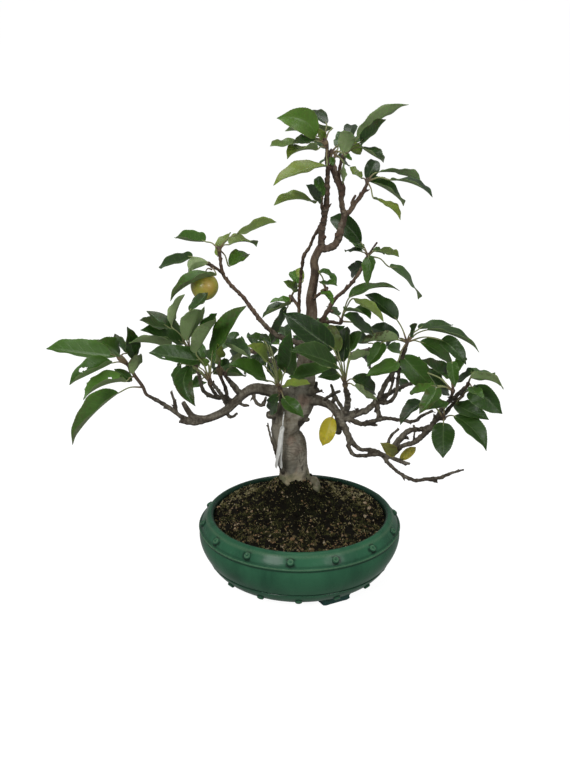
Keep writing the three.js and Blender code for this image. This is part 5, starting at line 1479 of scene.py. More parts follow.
@dataclass
class Pot:
    """The drum pot: a belly on three cloud feet, a ridge, a sloping band of studs and a rolled lip."""

    setting: Setting
    finish: GlazeFinish = GlazeFinish()
    segments: int = 192
    stud_count: int = 14
    stud_radius: float = 4.5
    stud_height: float = 2.9
    upper: StudRow = StudRow(115.0, 72.0, math.radians(52), math.radians(-5.6))
    lower: StudRow = StudRow(101.0, 15.8, math.radians(-46), math.radians(-1))
    foot_count: int = 3
    foot_width: float = 41.0
    foot_height: float = 12.0
    foot_depth: float = 17.0
    foot_ring: float = 81.0
    foot_turn: float = math.radians(29)

    def outline(self) -> Rows:
        """The wall's section as radius and height, closed on itself, from the drainage hole round.

        Returns:
            The section.
        """
        runs = (
            ((9, 7.5), (30, 7.6), (60, 7.5), (76, 7.5)),
            ((76, 7.5), (84, 7.6), (92, 9.4), (99.5, 13.8), (105.2, 19.6), (108.6, 24.4), (109.4, 25.8)),
            ((109.4, 25.8), (108.7, 26.8), (109.6, 27.8), (110.8, 29.0)),
            ((110.8, 29.0), (115.6, 37.4), (119.2, 47), (120.3, 55), (119.6, 61.2)),
            (
                (119.6, 61.2), (119.3, 62.6), (119.9, 63.6), (120.8, 64.6), (120.6, 65.8), (119.4, 66.3),
                (118.4, 66.4),
            ),
            (
                (118.4, 66.4), (117.6, 68.2), (115.9, 71.4), (113.8, 74.6), (111.9, 77.4), (109.9, 79.7),
                (107.6, 80.9), (105.4, 80.8), (103.7, 79.7), (103.0, 78.2), (103.2, 76),
            ),
            ((103.2, 76), (104.2, 66), (109, 58), (110.2, 52), (107.5, 42), (101, 32), (90, 22), (76, 17.2)),
            ((76, 17.2), (40, 17), (9, 17)),
            ((9, 17), (9, 12), (9, 7.5)),
        )
        sections = [smooth_section(run, 1.1)[:-1] for run in runs]
        return np.concatenate([*sections, np.array([runs[0][0]], float)])

    def wall(self) -> Piece:
        """Turns the wall and notes where its glaze is thin, with painted highlights on ridge and lip, and
        where it pools, with painted shade in its recesses, inside the mouth and at the back.

        Returns:
            The wall.
        """
        piece = turned("pot_wall", self.outline(), self.segments)
        points = points_of(piece)
        radius, height = np.hypot(points[:, 0], points[:, 1]), points[:, 2]
        angle = np.arctan2(points[:, 1], points[:, 0])
        wobble = 0.35 * np.sin(3 * angle + 0.4) + 0.25 * np.sin(7 * angle)
        points[:, :2] *= (1 + wobble / 400)[:, None]
        move(piece, points)
        # Pale thin glaze on the ridge and lip crests, which also paints their highlights.
        ridge = hump(height, 65.4, 0.8) * (radius > 119.2)
        lip = hump(height, 77.6, 2.4) * (radius > 108) * 0.6
        note(piece, "thin_and_highlight", np.clip(ridge + lip, 0, 1))
        # Dark pooled glaze, which also paints shade, in the recesses by the ridge, in the groove over the
        # foot ring and round the studs; darker towards the bottom of the belly.
        above_ridge = hump(height, 67.4, 1.5) * (radius > 114) * 0.5
        below_ridge = hump(height, 62.4, 1.0) * (radius > 118)
        groove = hump(height, 26.8, 1.0) * (radius > 105)
        rings = np.maximum(self.stud_pools_and_shade(points, self.upper), self.stud_pools_and_shade(points, self.lower))
        base = fade(height, 16, 8) * (radius > 60) * 0.6
        # Painted shade: the inner wall of the mouth and the back of the rim and band are darkened.
        inside = fade(radius, 107.0, 104.0) * (height > 40)
        behind = 0.7 * fade(points[:, 1], -40, 50) * (height > 64)
        shade = above_ridge + below_ridge + groove + rings + base + inside + behind
        note(piece, "pool_and_shade", np.clip(shade, 0, 1))
        return piece

    def stud_feet(self, row: StudRow) -> tuple[Rows, Rows]:
        """Where a row's studs stand, and which way they face.

        Args:
            row: the row.

        Returns:
            A place and a direction for each stud.
        """
        turn = row.turn + np.arange(self.stud_count) * TURN / self.stud_count
        out = np.column_stack((np.sin(turn), -np.cos(turn), np.zeros_like(turn)))
        feet = out * row.ring_radius + UP * row.ring_height
        return feet, out * math.cos(row.face_tilt) + UP * math.sin(row.face_tilt)

    def stud_pools_and_shade(self, points: Rows, row: StudRow) -> Rows:
        """How much glaze pools at each point, with painted shade, in a ring round each stud of a row."""
        away = [np.linalg.norm(points - stand, axis=1) for stand in self.stud_feet(row)[0]]
        return 1.3 * hump(np.min(away, axis=0) - self.stud_radius, 0.5, 1.1)

    def stud_pattern(self) -> Piece:
        """One stud: a button with a rounded edge and a faint hollow on top, on a flared foot.

        Returns:
            The stud.
        """
        r, h = self.stud_radius, self.stud_height
        section = (
            (0, h * 0.70), (r * 0.22, h * 0.74), (r * 0.42, h * 0.96), (r * 0.60, h), (r * 0.80, h * 0.86),
            (r * 0.93, h * 0.5), (r * 0.98, h * 0.1), (r * 1.08, -h * 0.25), (r * 1.12, -h * 0.9),
            (0, -h * 0.9),
        )
        return turned("stud", np.array(section, float), 24)

    def studs(self) -> Piece:
        """Makes both rows of studs.

        Returns:
            The studs, as one mesh.
        """
        pattern = self.stud_pattern()
        shape = points_of(pattern)
        rim, front = np.hypot(shape[:, 0], shape[:, 1]) / self.stud_radius, shape[:, 2] > 0
        pieces = []
        for row in (self.upper, self.lower):
            for stand, facing in zip(*self.stud_feet(row)):
                copy = copied(pattern, shape @ tilt_to(facing).T + stand)
                # A pale ring on each stud's top: thin glaze and a painted highlight.
                note(copy, "thin_and_highlight", 0.62 * (hump(rim, 0.6, 0.16) * front) + 0.2 * front)
                # A dark ring round each stud's foot and a dark dimple on top: pooled glaze and painted
                # shade.
                note(copy, "pool_and_shade", fade(rim, 0.84, 1.0) + 0.5 * hump(rim, 0, 0.25) * front)
                pieces.append(copy)
        bpy.data.objects.remove(pattern)
        return join("pot_studs", pieces)

    def cloud_outline(self) -> Rows:
        """A foot's front outline: narrow where it stands, with a scroll on each side.

        Returns:
            Rows of x and z round the outline.
        """
        half, top = self.foot_width / 2, self.foot_height + 3
        side = (
            (0.0, 0.0), (half * 0.4, 0.0), (half * 0.74, 0.1), (half * 0.9, top * 0.12),
            (half * 0.86, top * 0.30), (half * 0.93, top * 0.42), (half * 1.05, top * 0.60),
            (half * 1.04, top * 0.80), (half * 0.96, top),
        )
        right = smooth_section(side, 1.0)
        return np.concatenate((right, (right[::-1] * (-1, 1))[:-1]))

    def foot(self, turn: float) -> Piece:
        """One cloud foot.

        Args:
            turn: its angle round the pot, from the front towards +X.

        Returns:
            The foot.
        """
        outline = self.cloud_outline()
        bpy.ops.mesh.primitive_circle_add(vertices=len(outline), fill_type="NGON")
        piece = added("foot")
        front = -self.foot_ring - self.foot_depth / 2 + 1
        move(piece, np.column_stack((outline[:, 0], np.full(len(outline), front), outline[:, 1])))
        choose(piece)
        bpy.ops.object.mode_set(mode="EDIT")
        bpy.ops.mesh.select_all(action="SELECT")
        bpy.ops.mesh.extrude_region_move(TRANSFORM_OT_translate={"value": (0, self.foot_depth, 0)})
        bpy.ops.mesh.select_all(action="SELECT")
        bpy.ops.mesh.normals_make_consistent(inside=False)
        bpy.ops.object.mode_set(mode="OBJECT")
        modify(piece, "BEVEL", width=1.3, segments=3, limit_method="ANGLE", angle_limit=math.radians(50))
        modify(piece, "TRIANGULATE")
        points = points_of(piece)
        points[:, 2] = np.maximum(points[:, 2], 0.0)
        move(piece, points)
        # The foot's front face is paler: thin glaze and a painted highlight.
        note(piece, "thin_and_highlight", 0.35 * fade(points[:, 1], front + 1.2, front))
        # The foot's top, under the belly, is darker: painted shade.
        note(piece, "pool_and_shade", 0.6 * fade(points[:, 2], 9.0, 13.0))
        piece.data.transform(Matrix.Rotation(turn, 4, "Z"))
        return piece

    def build(self) -> None:
        """Makes the pot and stands it in the frame."""
        feet = [self.foot(self.foot_turn + TURN * k / self.foot_count) for k in range(self.foot_count)]
        piece = join("glazed_pot", [*feet, self.studs(), self.wall()])
        paint(piece, self.finish.material(), 48)
        self.setting.settle(piece, "glaze", "pot")


# ---------- wood


@dataclass
class Wood:
    """Trunk, boughs, twigs and surface roots, grown together: fluted, knotted and budded."""

    setting: Setting
    finish: BarkFinish = BarkFinish()
    voxel: float = 0.9
    kept_share: float = 0.62
    flutes: int = 5
    flute_turn: float = 4.2
    flute_offset: float = 0.46
    flute_share: float = 0.57
    core_share: float = 0.93
    node_gap: float = 9.5
    node_swelling: float = 0.22
    bud_length: float = 3.2
    budding_limit: float = 4.6
    fluted_limit: float = 6.6
    slim_limit: float = 3.4
    burl: Place = (288.0, 457.0, 12.0, 26.0)
    ring_gap: float = 3.6
    # Two patches of bluish-grey painted shade on the trunk.
    painted_shade_patches: tuple[Place, ...] = ((290, 468, 9, 14), (299, 393, 4, 24))
    flush_marks: tuple[Place, ...] = ((298, 450, 10, 10), (290, 441, 8, 7), (303, 402, 6, 11))
    pale_marks: tuple[Place, ...] = ((275, 434, 10, 14), (304, 461, 12, 12), (299, 449, 9, 12))
    seed: int = 5

    def fluted(self, spine: Rows) -> list[Rows]:
        """A trunk as a core and strands that wind round it.

        Args:
            spine: rows of x, y, z and radius along the trunk.

        Returns:
            The core and the strands.
        """
        core = spine.copy()
        core[:, 3] *= self.core_share
        strands = [core]
        side = np.array([1.0, 0.0, 0.0])
        along = np.gradient(spine[:, :3], axis=0)
        winding = np.linspace(0, self.flute_turn, len(spine))
        sides = []
        for step in along:
            side = unit(side - unit(step) * np.dot(side, unit(step)))
            sides.append(side)
        sides = np.array(sides)
        others = np.cross(units(along), sides)
        for k in range(self.flutes):
            angle = (winding + TURN * k / self.flutes)[:, None]
            strand = spine.copy()
            out = sides * np.cos(angle) + others * np.sin(angle)
            strand[:, :3] += out * spine[:, 3:] * self.flute_offset
            strand[:, 3] *= self.flute_share
            strands.append(strand)
        return strands

    def knotted(self, spine: Rows, rng: Draw) -> tuple[Rows, list[Rows]]:
        """A twig with a swelling and a bud at each of its nodes.

        Args:
            spine: rows of x, y, z and radius along the twig.
            rng: the draw of its irregularities.

        Returns:
            The twig and its buds.
        """
        twig = spine.copy()
        run = run_along(spine)
        marks = np.arange(rng.uniform(4, 9), run[-1] - 2.5, self.node_gap) if run[-1] > 9 else np.empty(0)
        marks = marks + rng.uniform(-2.5, 2.5, len(marks))
        buds = []
        for index, mark in enumerate(marks):
            twig[:, 3] *= 1 + self.node_swelling * hump(run, mark, 1.3)
            k = int(np.clip(np.searchsorted(run, mark), 1, len(spine) - 2))
            girth = spine[k, 3]
            if girth > self.budding_limit:
                continue
            forward = unit(spine[k + 1, :3] - spine[k - 1, :3])
            angle = index * 2.4 + rng.uniform(0, 1)
            side = unit(np.cross(forward, UP + 0.1))
            out = side * math.cos(angle) + np.cross(forward, side) * math.sin(angle)
            length = self.bud_length * rng.choice([0.8, 1.0, 2.0], p=[0.4, 0.4, 0.2])
            rise = np.array([0.0, 0.35, 0.7, 1.0])[:, None] * length
            bud = spine[k, :3] + out * girth * 0.75 + (out * 0.55 + forward * 0.85) * rise
            buds.append(np.column_stack((bud, np.array([0.75, 0.9, 0.7, 0.3]) * min(1.35, girth * 0.6))))
        wander = rng.normal(0, 0.10, (len(spine), 3)) * spine[:, 3:]
        twig[1:-1, :3] += wander[1:-1]
        return twig, buds

    def strands(self) -> list[Rows]:
        """Draws every strand of the wood.

        Returns:
            Rows of x, y, z and radius for each strand.
        """
        rng = np.random.default_rng(self.seed)
        made = self.fluted(smooth_path(self.setting.sheet.limb(TRUNK), 3.0))
        for places in (*LIMBS.values(), *STUBS.values()):
            rows = self.setting.sheet.limb(places)
            spine = smooth_path(rows, 1.6)
            if rows[0, 3] > self.fluted_limit:
                made.extend(self.fluted(spine))
                continue
            twig, buds = self.knotted(spine, rng)
            made.extend((twig, *buds))
        return made

    def nearest(self, rows: Rows, points: Rows) -> tuple[Rows, Rows]:
        """The strand that each point belongs to.

        Args:
            rows: the strands' rows of x, y, z and radius.
            points: the points.

        Returns:
            The nearest row's radius, and how far from that row's surface the point is.
        """
        tree = tree_of(rows[:, :3])
        found = [tree.find(Vector(point)) for point in points]
        radius = rows[[hit[1] for hit in found], 3]
        return radius, np.abs(np.array([hit[2] for hit in found]) - radius)

    def rings(self, points: Rows) -> Rows:
        """Growth ridges over the burl's upper right side.

        Args:
            points: where they are read.

        Returns:
            From -1 to 1, and 0 away from that side.
        """
        offset = points - self.setting.sheet.point(self.burl)
        away = np.linalg.norm(offset, axis=1)
        wavy = away + 2.4 * cloud(points, 10.0, 2, 4.0) + 0.7 * cloud(points, 3.0, 1, 6.0)
        reach = self.burl[3]
        side = fade(offset @ np.array([0.7, 0.0, 0.7]), -2, 8)
        return np.sin(wavy * TURN / self.ring_gap) * fade(away, reach + 4, reach - 8) * side

    def marked(self, points: Rows, places: Sequence[Place]) -> Rows:
        """How much each point lies in ragged marks on the bark.

        Args:
            points: the points.
            places: each mark's middle on the sheet, its depth and its reach.

        Returns:
            A share for each point.
        """
        share = np.zeros(len(points))
        ragged = 4.0 * cloud(points, 7.0, 2, 8.0)
        for place in places:
            away = np.linalg.norm(points - self.setting.sheet.point(place), axis=1) + ragged
            share = np.maximum(share, fade(away, place[3], place[3] * 0.4))
        return share

    def build(self) -> None:
        """Grows the wood together, gives it its bark and sets it in the frame."""
        strands = self.strands()
        piece = tubes("trunk_and_twigs", strands, 12)
        modify(piece, "REMESH", mode="VOXEL", voxel_size=self.voxel)
        modify(piece, "SMOOTH", factor=0.5, iterations=2)
        rows = np.concatenate(strands)
        points, normals = points_of(piece), vectors_of(piece.data.vertex_normals, "vector")
        slim_radius, slim_gap = self.nearest(rows[rows[:, 3] < self.slim_limit], points)
        thick_radius, thick_gap = self.nearest(rows[rows[:, 3] >= self.slim_limit], points)
        girth = np.where(slim_gap < thick_gap, slim_radius, thick_radius) * 1.6
        coarse = cloud(points * np.array([1, 1, 0.6]), 11.0, 3)
        fine = cloud(points * np.array([1, 1, 0.45]), 3.4, 3, 7.0)
        wrinkles = cloud(points * np.array([0.5, 0.5, 2.2]), 5.0, 2, 3.0)
        thick, slim = fade(girth, 3.0, 12.0), fade(girth, 16.0, 10.0)
        rings = self.rings(points) * thick
        rough = 0.75 * coarse + (0.30 + 0.35 * slim) * fine + 0.42 * wrinkles
        height = thick * rough + (1 - thick) * (0.24 * fine + 0.12 * wrinkles) + 0.30 * rings
        move(piece, points + normals * height[:, None])
        # Painted shade: the hollows of the bark, the undersides of slim wood and the troughs between growth
        # ridges are darkened.
        creased = 0.3 + 0.7 * thick - 0.8 * fade(girth, 14, 24)
        crease_and_underside_shade = fade(-(0.7 * coarse + 0.5 * fine), 0.42, 0.95) * creased
        crease_and_underside_shade = crease_and_underside_shade + slim * (0.75 * fade(normals[:, 2], 0.1, -0.6) + 0.55 * fade(-fine, 0.15, 0.6))
        crease_and_underside_shade = crease_and_underside_shade + 0.28 * fade(-rings, 0.2, 0.95)
        # Painted highlight: raised bark, the upward faces of slim wood and the crests of growth ridges turn
        # grey; the pale marks add to it.
        lift = fade(0.6 * fine + 0.5 * wrinkles, 0.25, 0.7)
        lift = lift + 0.45 * slim * thick * fade(normals[:, 2], 0.3, 0.9)
        lift = lift + 0.4 * fade(rings, 0.2, 0.95) + 0.8 * self.marked(points, self.pale_marks)
        note(piece, "girth", girth)
        note(piece, "crease_and_underside_shade", np.clip(crease_and_underside_shade, 0, 1))
        note(piece, "lift", np.clip(lift, 0, 1))
        note(piece, "painted_shade_patch", self.marked(points, self.painted_shade_patches))
        note(piece, "flush", self.marked(points, self.flush_marks))
        note(piece, "damp", fade(points[:, 2], 150, 112))
        modify(piece, "DECIMATE", ratio=self.kept_share)
        paint(piece, self.finish.material(), 80)
        self.setting.settle(piece, "bark", "trunk_and_branches")


# ---------- soil


@dataclass
class Soil:
    """The planting mix: a rough mound, granules of several sizes and colours on it, and moss."""

    setting: Setting
    finish: GritFinish = GritFinish()
    moss_finish: MossFinish = MossFinish()
    mouth_radius: float = 103.0
    edge_height: float = 74.0
    back_rise: float = 3.0
    shoulder_rise: float = 4.0
    mound_height: float = 38.0
    mound_spread: float = 43.0
    crown: tuple[float, float] = (-4.0, 25.0)
    small_grains: int = 5200
    large_grains: int = 420
    litter: int = 3000
    tufts: int = 19000
    seed: int = 19

    def height(self, x: Rows, y: Rows) -> Rows:
        """Height of the soil with its lumps and crumbs: a mound at the trunk's foot, sloping to the wall.

        Args:
            x: places across the pot.
            y: places from its front to its back.

        Returns:
            A height for each place.
        """
        from_trunk = np.hypot(x - self.crown[0], y - self.crown[1])
        from_wall = np.maximum(0.0, 1 - np.hypot(x, y) / self.mouth_radius)
        shoulder = np.minimum(1.0, from_wall * 3)
        mound = self.mound_height * hump(from_trunk, 0, self.mound_spread)
        edge = self.edge_height + self.back_rise * fade(y, -20, 70)
        inner = fade(np.hypot(x, y), self.mouth_radius, self.mouth_radius - 6)
        lumps = 1.7 * cloud(flat(x, y), 17.0, 2) + 1.1 * cloud(flat(x, y), 4.5, 3, 5.0)
        return edge + mound * shoulder + self.shoulder_rise * shoulder + inner * lumps

    def ground(self) -> Piece:
        """The mound, closed below along the pot's inner wall.

        Returns:
            The mound.
        """
        top = np.column_stack((np.linspace(0, self.mouth_radius - 0.6, 90), np.zeros(90)))
        below = np.array([(103.4, 66), (109.6, 52), (100.6, 32.4), (75.6, 17.6), (0, 17.6)])
        piece = turned("soil_mound", np.concatenate((top, below)), 220)
        points = points_of(piece)
        surface = points[:, 2] < 1.0
        points[surface, 2] = self.height(points[surface, 0], points[surface, 1])
        move(piece, points)
        note(piece, "tone", 0.16 + 0.14 * cloud(points, 7.0, 3, 2.0))
        return piece

    def spots(self, rng: Draw, count: int) -> tuple[Rows, Rows]:
        """Random places on the surface, even over its area.

        Args:
            rng: the draw.
            count: how many places.

        Returns:
            Their x and y.
        """
        radius = (self.mouth_radius - 1.8) * np.sqrt(rng.uniform(0, 1, count))
        angle = rng.uniform(0, TURN, count)
        return radius * np.cos(angle), radius * np.sin(angle)

    def grains(
        self, name: str, rng: Draw, count: int, sizes: Place, fineness: int, stretch: float = 1.0
    ) -> Piece:
        """Granules strewn over the mound.

        Args:
            name: the piece's name.
            rng: the draw.
            count: how many granules.
            sizes: the smallest and largest radius.
            fineness: the subdivisions of a granule.
            stretch: how much longer than thick it is; long ones are pale.

        Returns:
            The granules.
        """
        bpy.ops.mesh.primitive_ico_sphere_add(subdivisions=fineness, radius=1.0)
        pattern = added(name + "_pattern")
        shape = points_of(pattern)
        move(pattern, shape * (1 + 0.22 * rng.normal(0, 1, len(shape)))[:, None])
        x, y = self.spots(rng, 2 * count)
        clumps = cloud(flat(x, y), 9.0, 3, 6.0) + rng.normal(0, 0.12, len(x))
        dense = np.argsort(-clumps)[:count]
        x, y, clumps = x[dense], y[dense], clumps[dense]
        size = sizes[0] + (sizes[1] - sizes[0]) * rng.power(0.55, count)
        places = np.column_stack((x, y, self.height(x, y) + size * 0.25))
        turns = np.empty((count, 3, 3))
        for k in range(count):
            spin, _ = np.linalg.qr(rng.normal(0, 1, (3, 3)))
            if np.linalg.det(spin) < 0:
                spin[:, 0] *= -1
            turns[k] = spin * (size[k] * rng.uniform(0.65, 1.25, 3) * np.array([stretch, 1, 1]))
        drawn = rng.uniform(0, 1, count)
        warm = fade(np.hypot(x, y - 25), 60, 95) * fade(y, 20, -30)
        plain = drawn < 0.96 - 0.30 * warm - 0.16 * np.clip(clumps, 0, 1)
        tones = np.where(plain, 0.05 + 0.40 * drawn, 0.20 + 0.72 * drawn)
        if stretch > 1:
            tones = 0.42 + 0.50 * drawn
        return scatter(name, pattern, places, turns, tones)

    def moss(self, rng: Draw) -> Piece:
        """Moss tips, thick in patches and thin between them.

        Args:
            rng: the draw.

        Returns:
            The moss.
        """
        bpy.ops.mesh.primitive_cone_add(
            vertices=4, radius1=0.42, radius2=0.0, depth=2.0, end_fill_type="TRIFAN"
        )
        pattern = added("moss_tip")
        x, y = self.spots(rng, self.tufts * 4)
        patch = cloud(flat(x, y), 21.0, 3, 11.0) + 0.35 * cloud(flat(x, y), 6.0, 2, 4.0)
        near = hump(np.hypot(x - 2, y + 2), 0, 24)
        kept = np.flatnonzero(patch + 0.9 * near + 0.5 * fade(y, 0, 55) > 0.06)[: self.tufts]
        x, y, near = x[kept], y[kept], near[kept]
        size = rng.uniform(0.5, 1.3, len(kept))
        places = np.column_stack((x, y, self.height(x, y) + 0.5 * size))
        turns = np.array([tilt_to((rng.normal(0, 0.5), rng.normal(0, 0.5), 1.0)) * tall for tall in size])
        # Painted shade darkens the moss near the trunk's foot.
        dry_and_lit = 0.32 + 0.5 * cloud(flat(x, y), 14.0, 2, 9.0) - 0.45 * near
        # Painted light pales the moss towards the back.
        dry_and_lit = dry_and_lit + 0.52 * fade(y, 0, 45) + rng.normal(0, 0.16, len(kept))
        return scatter("moss_tips", pattern, places, turns, np.clip(dry_and_lit, 0, 1))

    def build(self) -> None:
        """Lays the soil in the pot."""
        rng = np.random.default_rng(self.seed)
        grit = self.finish.material()
        small = self.ground(), self.grains("small_granules", rng, self.small_grains, (0.6, 1.6), 1)
        for piece in (*small, self.grains("large_granules", rng, self.large_grains, (1.3, 2.5), 2)):
            paint(piece, grit, 35)
            self.setting.settle(piece, "soil", "soil")
        mossy = self.moss_finish.material()
        for piece in (self.moss(rng), self.grains("pale_litter", rng, self.litter, (0.26, 0.46), 1, 7.0)):
            paint(piece, mossy)
            self.setting.settle(piece, "soil", "soil")


# ---------- leaves


@dataclass
class Pose:
    """How one leaf lies: its places, its bend, its axes, its size and the share of its width that shows."""

    base: Rows
    tip: Rows
    origin: Rows
    arch: float
    phase: float
    fold: float
    axis: Rows
    side: Rows
    top: Rows
    length: float
    width: float
    bow: Rows
    shown: float


@dataclass
class LeafShape:
    """The form that all leaves share."""

    setting: Setting
    length: float = 62.0
    width_ratio: float = 0.5
    folded_ratio: float = 0.62
    fold_degrees: float = 24.0
    arch: float = 0.1
    wave: float = 1.5
    foot_power: float = 0.62
    tip_power: float = 0.80
    stalk_offset: float = 1.1
    loose_depth: float = 60.0
    least_shown: float = 0.12
    shares: tuple[float, ...] = (1, -1, 0.55, -0.55, 0.2, -0.2, 1.5, -1.5, 2, -2)

    def outline(self, u: Rows) -> Rows:
        """Half-width along the blade, as a share of its widest.

        Args:
            u: places from its foot at 0 to its tip at 1.

        Returns:
            A share for each place.
        """
        widest = self.foot_power / (self.foot_power + self.tip_power)
        peak = widest**self.foot_power * (1 - widest) ** self.tip_power
        return u**self.foot_power * (1 - u) ** self.tip_power / peak * (1 - 0.4 * fade(u, 0.8, 1.0))

    def lie(self, plan: Leaf, base: Rows, tip: Rows, scale: float, fold: float, arch: float) -> tuple:
        """The way a blade lies, so that it shows its width, and turns its top more to the sky.

        Args:
            plan: the leaf.
            base: the foot of the blade.
            tip: its tip.
            scale: millimetres for a unit of the sheet.
            fold: how far an open blade folds up along its midrib.
            arch: how far it arches.

        Returns:
            Its pose from its fold on.
        """
        length = float(np.linalg.norm(tip - base))
        axis = unit(tip - base)
        view = unit((base + tip) / 2 - np.array(self.setting.sheet.eye))
        side = unit(np.cross(axis, view))
        face = np.cross(axis, side)
        shown = plan.width * scale
        width = max(length * self.width_ratio, shown / math.cos(fold))
        fold = min(fold, math.asin(min(1.0, max(self.least_shown, shown / width))))
        roll = math.acos(min(1.0, max(self.least_shown, shown / width / math.cos(fold))))
        if plan.strip:
            width = length * self.folded_ratio
            far = math.acos(min(1.0, 2 * shown / width))
            near = math.acos(-min(1.0, abs(plan.strip) * 2 * shown / width))
            roll, fold = (far + near) / 2, (near - far) / 2
        turns = (math.pi - roll, roll - math.pi) if plan.under else (roll, -roll)
        skyward = math.copysign(1.0, plan.strip)
        turn = max(turns, key=lambda angle: skyward * (face * math.cos(angle) - side * math.sin(angle))[2])
        top = face * math.cos(turn) - side * math.sin(turn)
        edge = side * math.cos(turn) + face * math.sin(turn)
        swing = math.copysign(shown / 2, turn) if plan.strip else width / 2 * math.sin(fold) * math.sin(turn)
        bow = side * swing
        if plan.bow is not None:
            rise = math.copysign(plan.bow * scale, side[2] * plan.bow)
            bow = bow + side * (rise - float(np.dot(top, side)) * arch * length)
        return fold, axis, edge, top, length, width, bow, min(1.0, shown / width)

    def poses(self, plan: Leaf, index: int, heart: Rows, draw: Callable[[], float]) -> list[Pose]:
        """The ways in which a leaf can lie on the same lines of the sheet.

        Args:
            plan: the leaf.
            index: its place in its spray.
            heart: the point of the shoot that its stalk leaves.
            draw: the spray's stream of numbers.

        Returns:
            The poses, the likeliest first.
        """
        sheet = self.setting.sheet
        scale = sheet.unit(heart)
        if plan.bow is None and heart[1] < self.loose_depth:
            plan = replace(plan, bow=0.0)
        shown = math.hypot(plan.tip[0] - plan.base[0], plan.tip[1] - plan.base[1]) * scale
        full = self.length * (0.92 + 0.2 * draw()) if plan.full is None else plan.full
        outward = 1 if heart[1] > 24 else -1
        lean = plan.lean if plan.lean is not None else (-outward if index % 3 == 2 else outward)
        fold = math.radians(self.fold_degrees * (0.7 + 0.7 * draw()))
        arch = (self.arch if plan.arch is None else plan.arch) * (0.8 + 0.5 * draw())
        phase = TURN * draw()
        reach = min(46.0, max(14.0, math.sqrt(max(0.0, full**2 - shown**2))))
        found = []
        for share in self.shares:
            depth = lean * share * reach
            base = sheet.point((*plan.base, heart[1] + depth * 0.3))
            tip = sheet.point((*plan.tip, heart[1] + depth))
            origin = heart + unit(base - heart) * self.stalk_offset
            found.append(Pose(base, tip, origin, arch, phase, *self.lie(plan, base, tip, scale, fold, arch)))
        return found


class BladePattern:
    """The one flat blade that every leaf is bent from: a fine grid with a top and an underside."""

    def __init__(self, shape: LeafShape, grid: tuple[int, int], holes: Sequence[Place] = ()) -> None:
        """Models the flat blade.

        Args:
            shape: the form that all leaves share.
            grid: steps from its foot to its tip, and from edge to edge.
            holes: what is eaten out of it, as places along and across from the midrib, and sizes.
        """
        self.shape = shape
        bpy.ops.mesh.primitive_grid_add(x_subdivisions=grid[0], y_subdivisions=grid[1], size=2)
        self.piece = added("blade_pattern")
        self.piece.data.uv_layers[0].name = "blade"
        if holes:
            self.eat(holes)
        modify(self.piece, "SOLIDIFY", thickness=0.1, offset=0.0)
        sheet = points_of(self.piece)
        even = (sheet[:, 0] + 1) / 2
        self.u = 0.7 * even + 0.3 * (0.5 - 0.5 * np.cos(np.pi * even))
        self.v = np.clip(sheet[:, 1], -1, 1)
        self.face = np.sign(sheet[:, 2])
        self.teeth = fade(np.abs(self.v), 0.96, 1.0) * np.where(np.rint(even * grid[0]) % 2, 0.22, -0.22)

    def eat(self, holes: Sequence[Place]) -> None:
        """Takes holes out of the flat blade.

        Args:
            holes: places along and across from the midrib, and sizes.
        """
        choose(self.piece)
        bpy.ops.object.mode_set(mode="EDIT")
        bpy.ops.mesh.select_mode(type="FACE")
        bpy.ops.mesh.select_all(action="DESELECT")
        bpy.ops.object.mode_set(mode="OBJECT")
        for face in self.piece.data.polygons:
            along, across = (face.center.x + 1) / 2, face.center.y
            ragged = 1 + 0.25 * noise.noise(face.center * 9)
            face.select = any(
                math.hypot((along - a) * 3.2, across - c) < size * ragged for a, c, size in holes
            )
        bpy.ops.object.mode_set(mode="EDIT")
        bpy.ops.mesh.delete(type="FACE")
        bpy.ops.object.mode_set(mode="OBJECT")

    def bend(self, pose: Pose, plan: Leaf, rng: Draw) -> Piece:
        """Bends a copy of the flat blade into place.

        Args:
            pose: how the leaf lies.
            plan: its plan.
            rng: the draw of its small irregularities.

        Returns:
            The blade.
        """
        u, v, hand = self.u, self.v, np.sign(self.v)
        half = pose.width / 2 * self.shape.outline(np.clip(u, 0.0, 1.0))
        share = half / (pose.width / 2)
        half = np.maximum(half, 0.55 * (1 - u) + 0.12) + self.teeth * share
        along = units(pose.axis + pose.top * (pose.arch * 4 * (1 - 2 * u))[:, None])
        over = np.cross(along, pose.side)
        twist = math.radians(rng.uniform(-20, 20)) * pose.shown**1.5 * (u - 0.35)
        sine, cosine = np.sin(twist)[:, None], np.cos(twist)[:, None]
        side, over = pose.side * cosine + over * sine, over * cosine - pose.side * sine
        spread = np.sqrt(v**2 + 0.004) - 0.0632
        wave = self.shape.wave * np.sin(pose.phase + hand * 1.3 + u * 9) * share * v**2
        flutter = u * rng.uniform(20, 27)
        ripple = 0.55 * np.sin(2 * pose.phase + hand * 2.1 + flutter) * share * np.abs(v) ** 3
        veins = 0.2 * np.cos(TURN * (u - 0.20 * np.abs(v)) * 8.0) * share * (1 - v**2) * np.abs(v) ** 0.5
        groove = hump(v, 0, 0.10) * (1 - 0.7 * u)
        lift = spread * half * math.sin(pose.fold) + wave + ripple + veins
        lift += np.where(self.face > 0, 0.24 - 0.34 * groove, -0.22 - 0.5 * groove) * (0.55 + 0.45 * share)
        curl = -0.03 * pose.length * fade(u, 0.8, 1.0) ** 2
        middle = pose.base + pose.axis * (pose.length * u)[:, None] + pose.bow * (4 * u * (1 - u))[:, None]
        middle = middle + pose.top * (pose.arch * pose.length * 4 * u * (1 - u) + curl)[:, None]
        points = middle + side * (v * half * math.cos(pose.fold))[:, None] + over * lift[:, None]
        copy = copied(self.piece, points)
        note(copy, "tone", plan.tone.value + rng.uniform(-0.05, 0.05))
        note(copy, "under", (self.face < 0).astype(float))
        note(copy, "spots", plan.spots if plan.spots else max(0.0, rng.uniform(-1.0, 0.55)))
        return copy


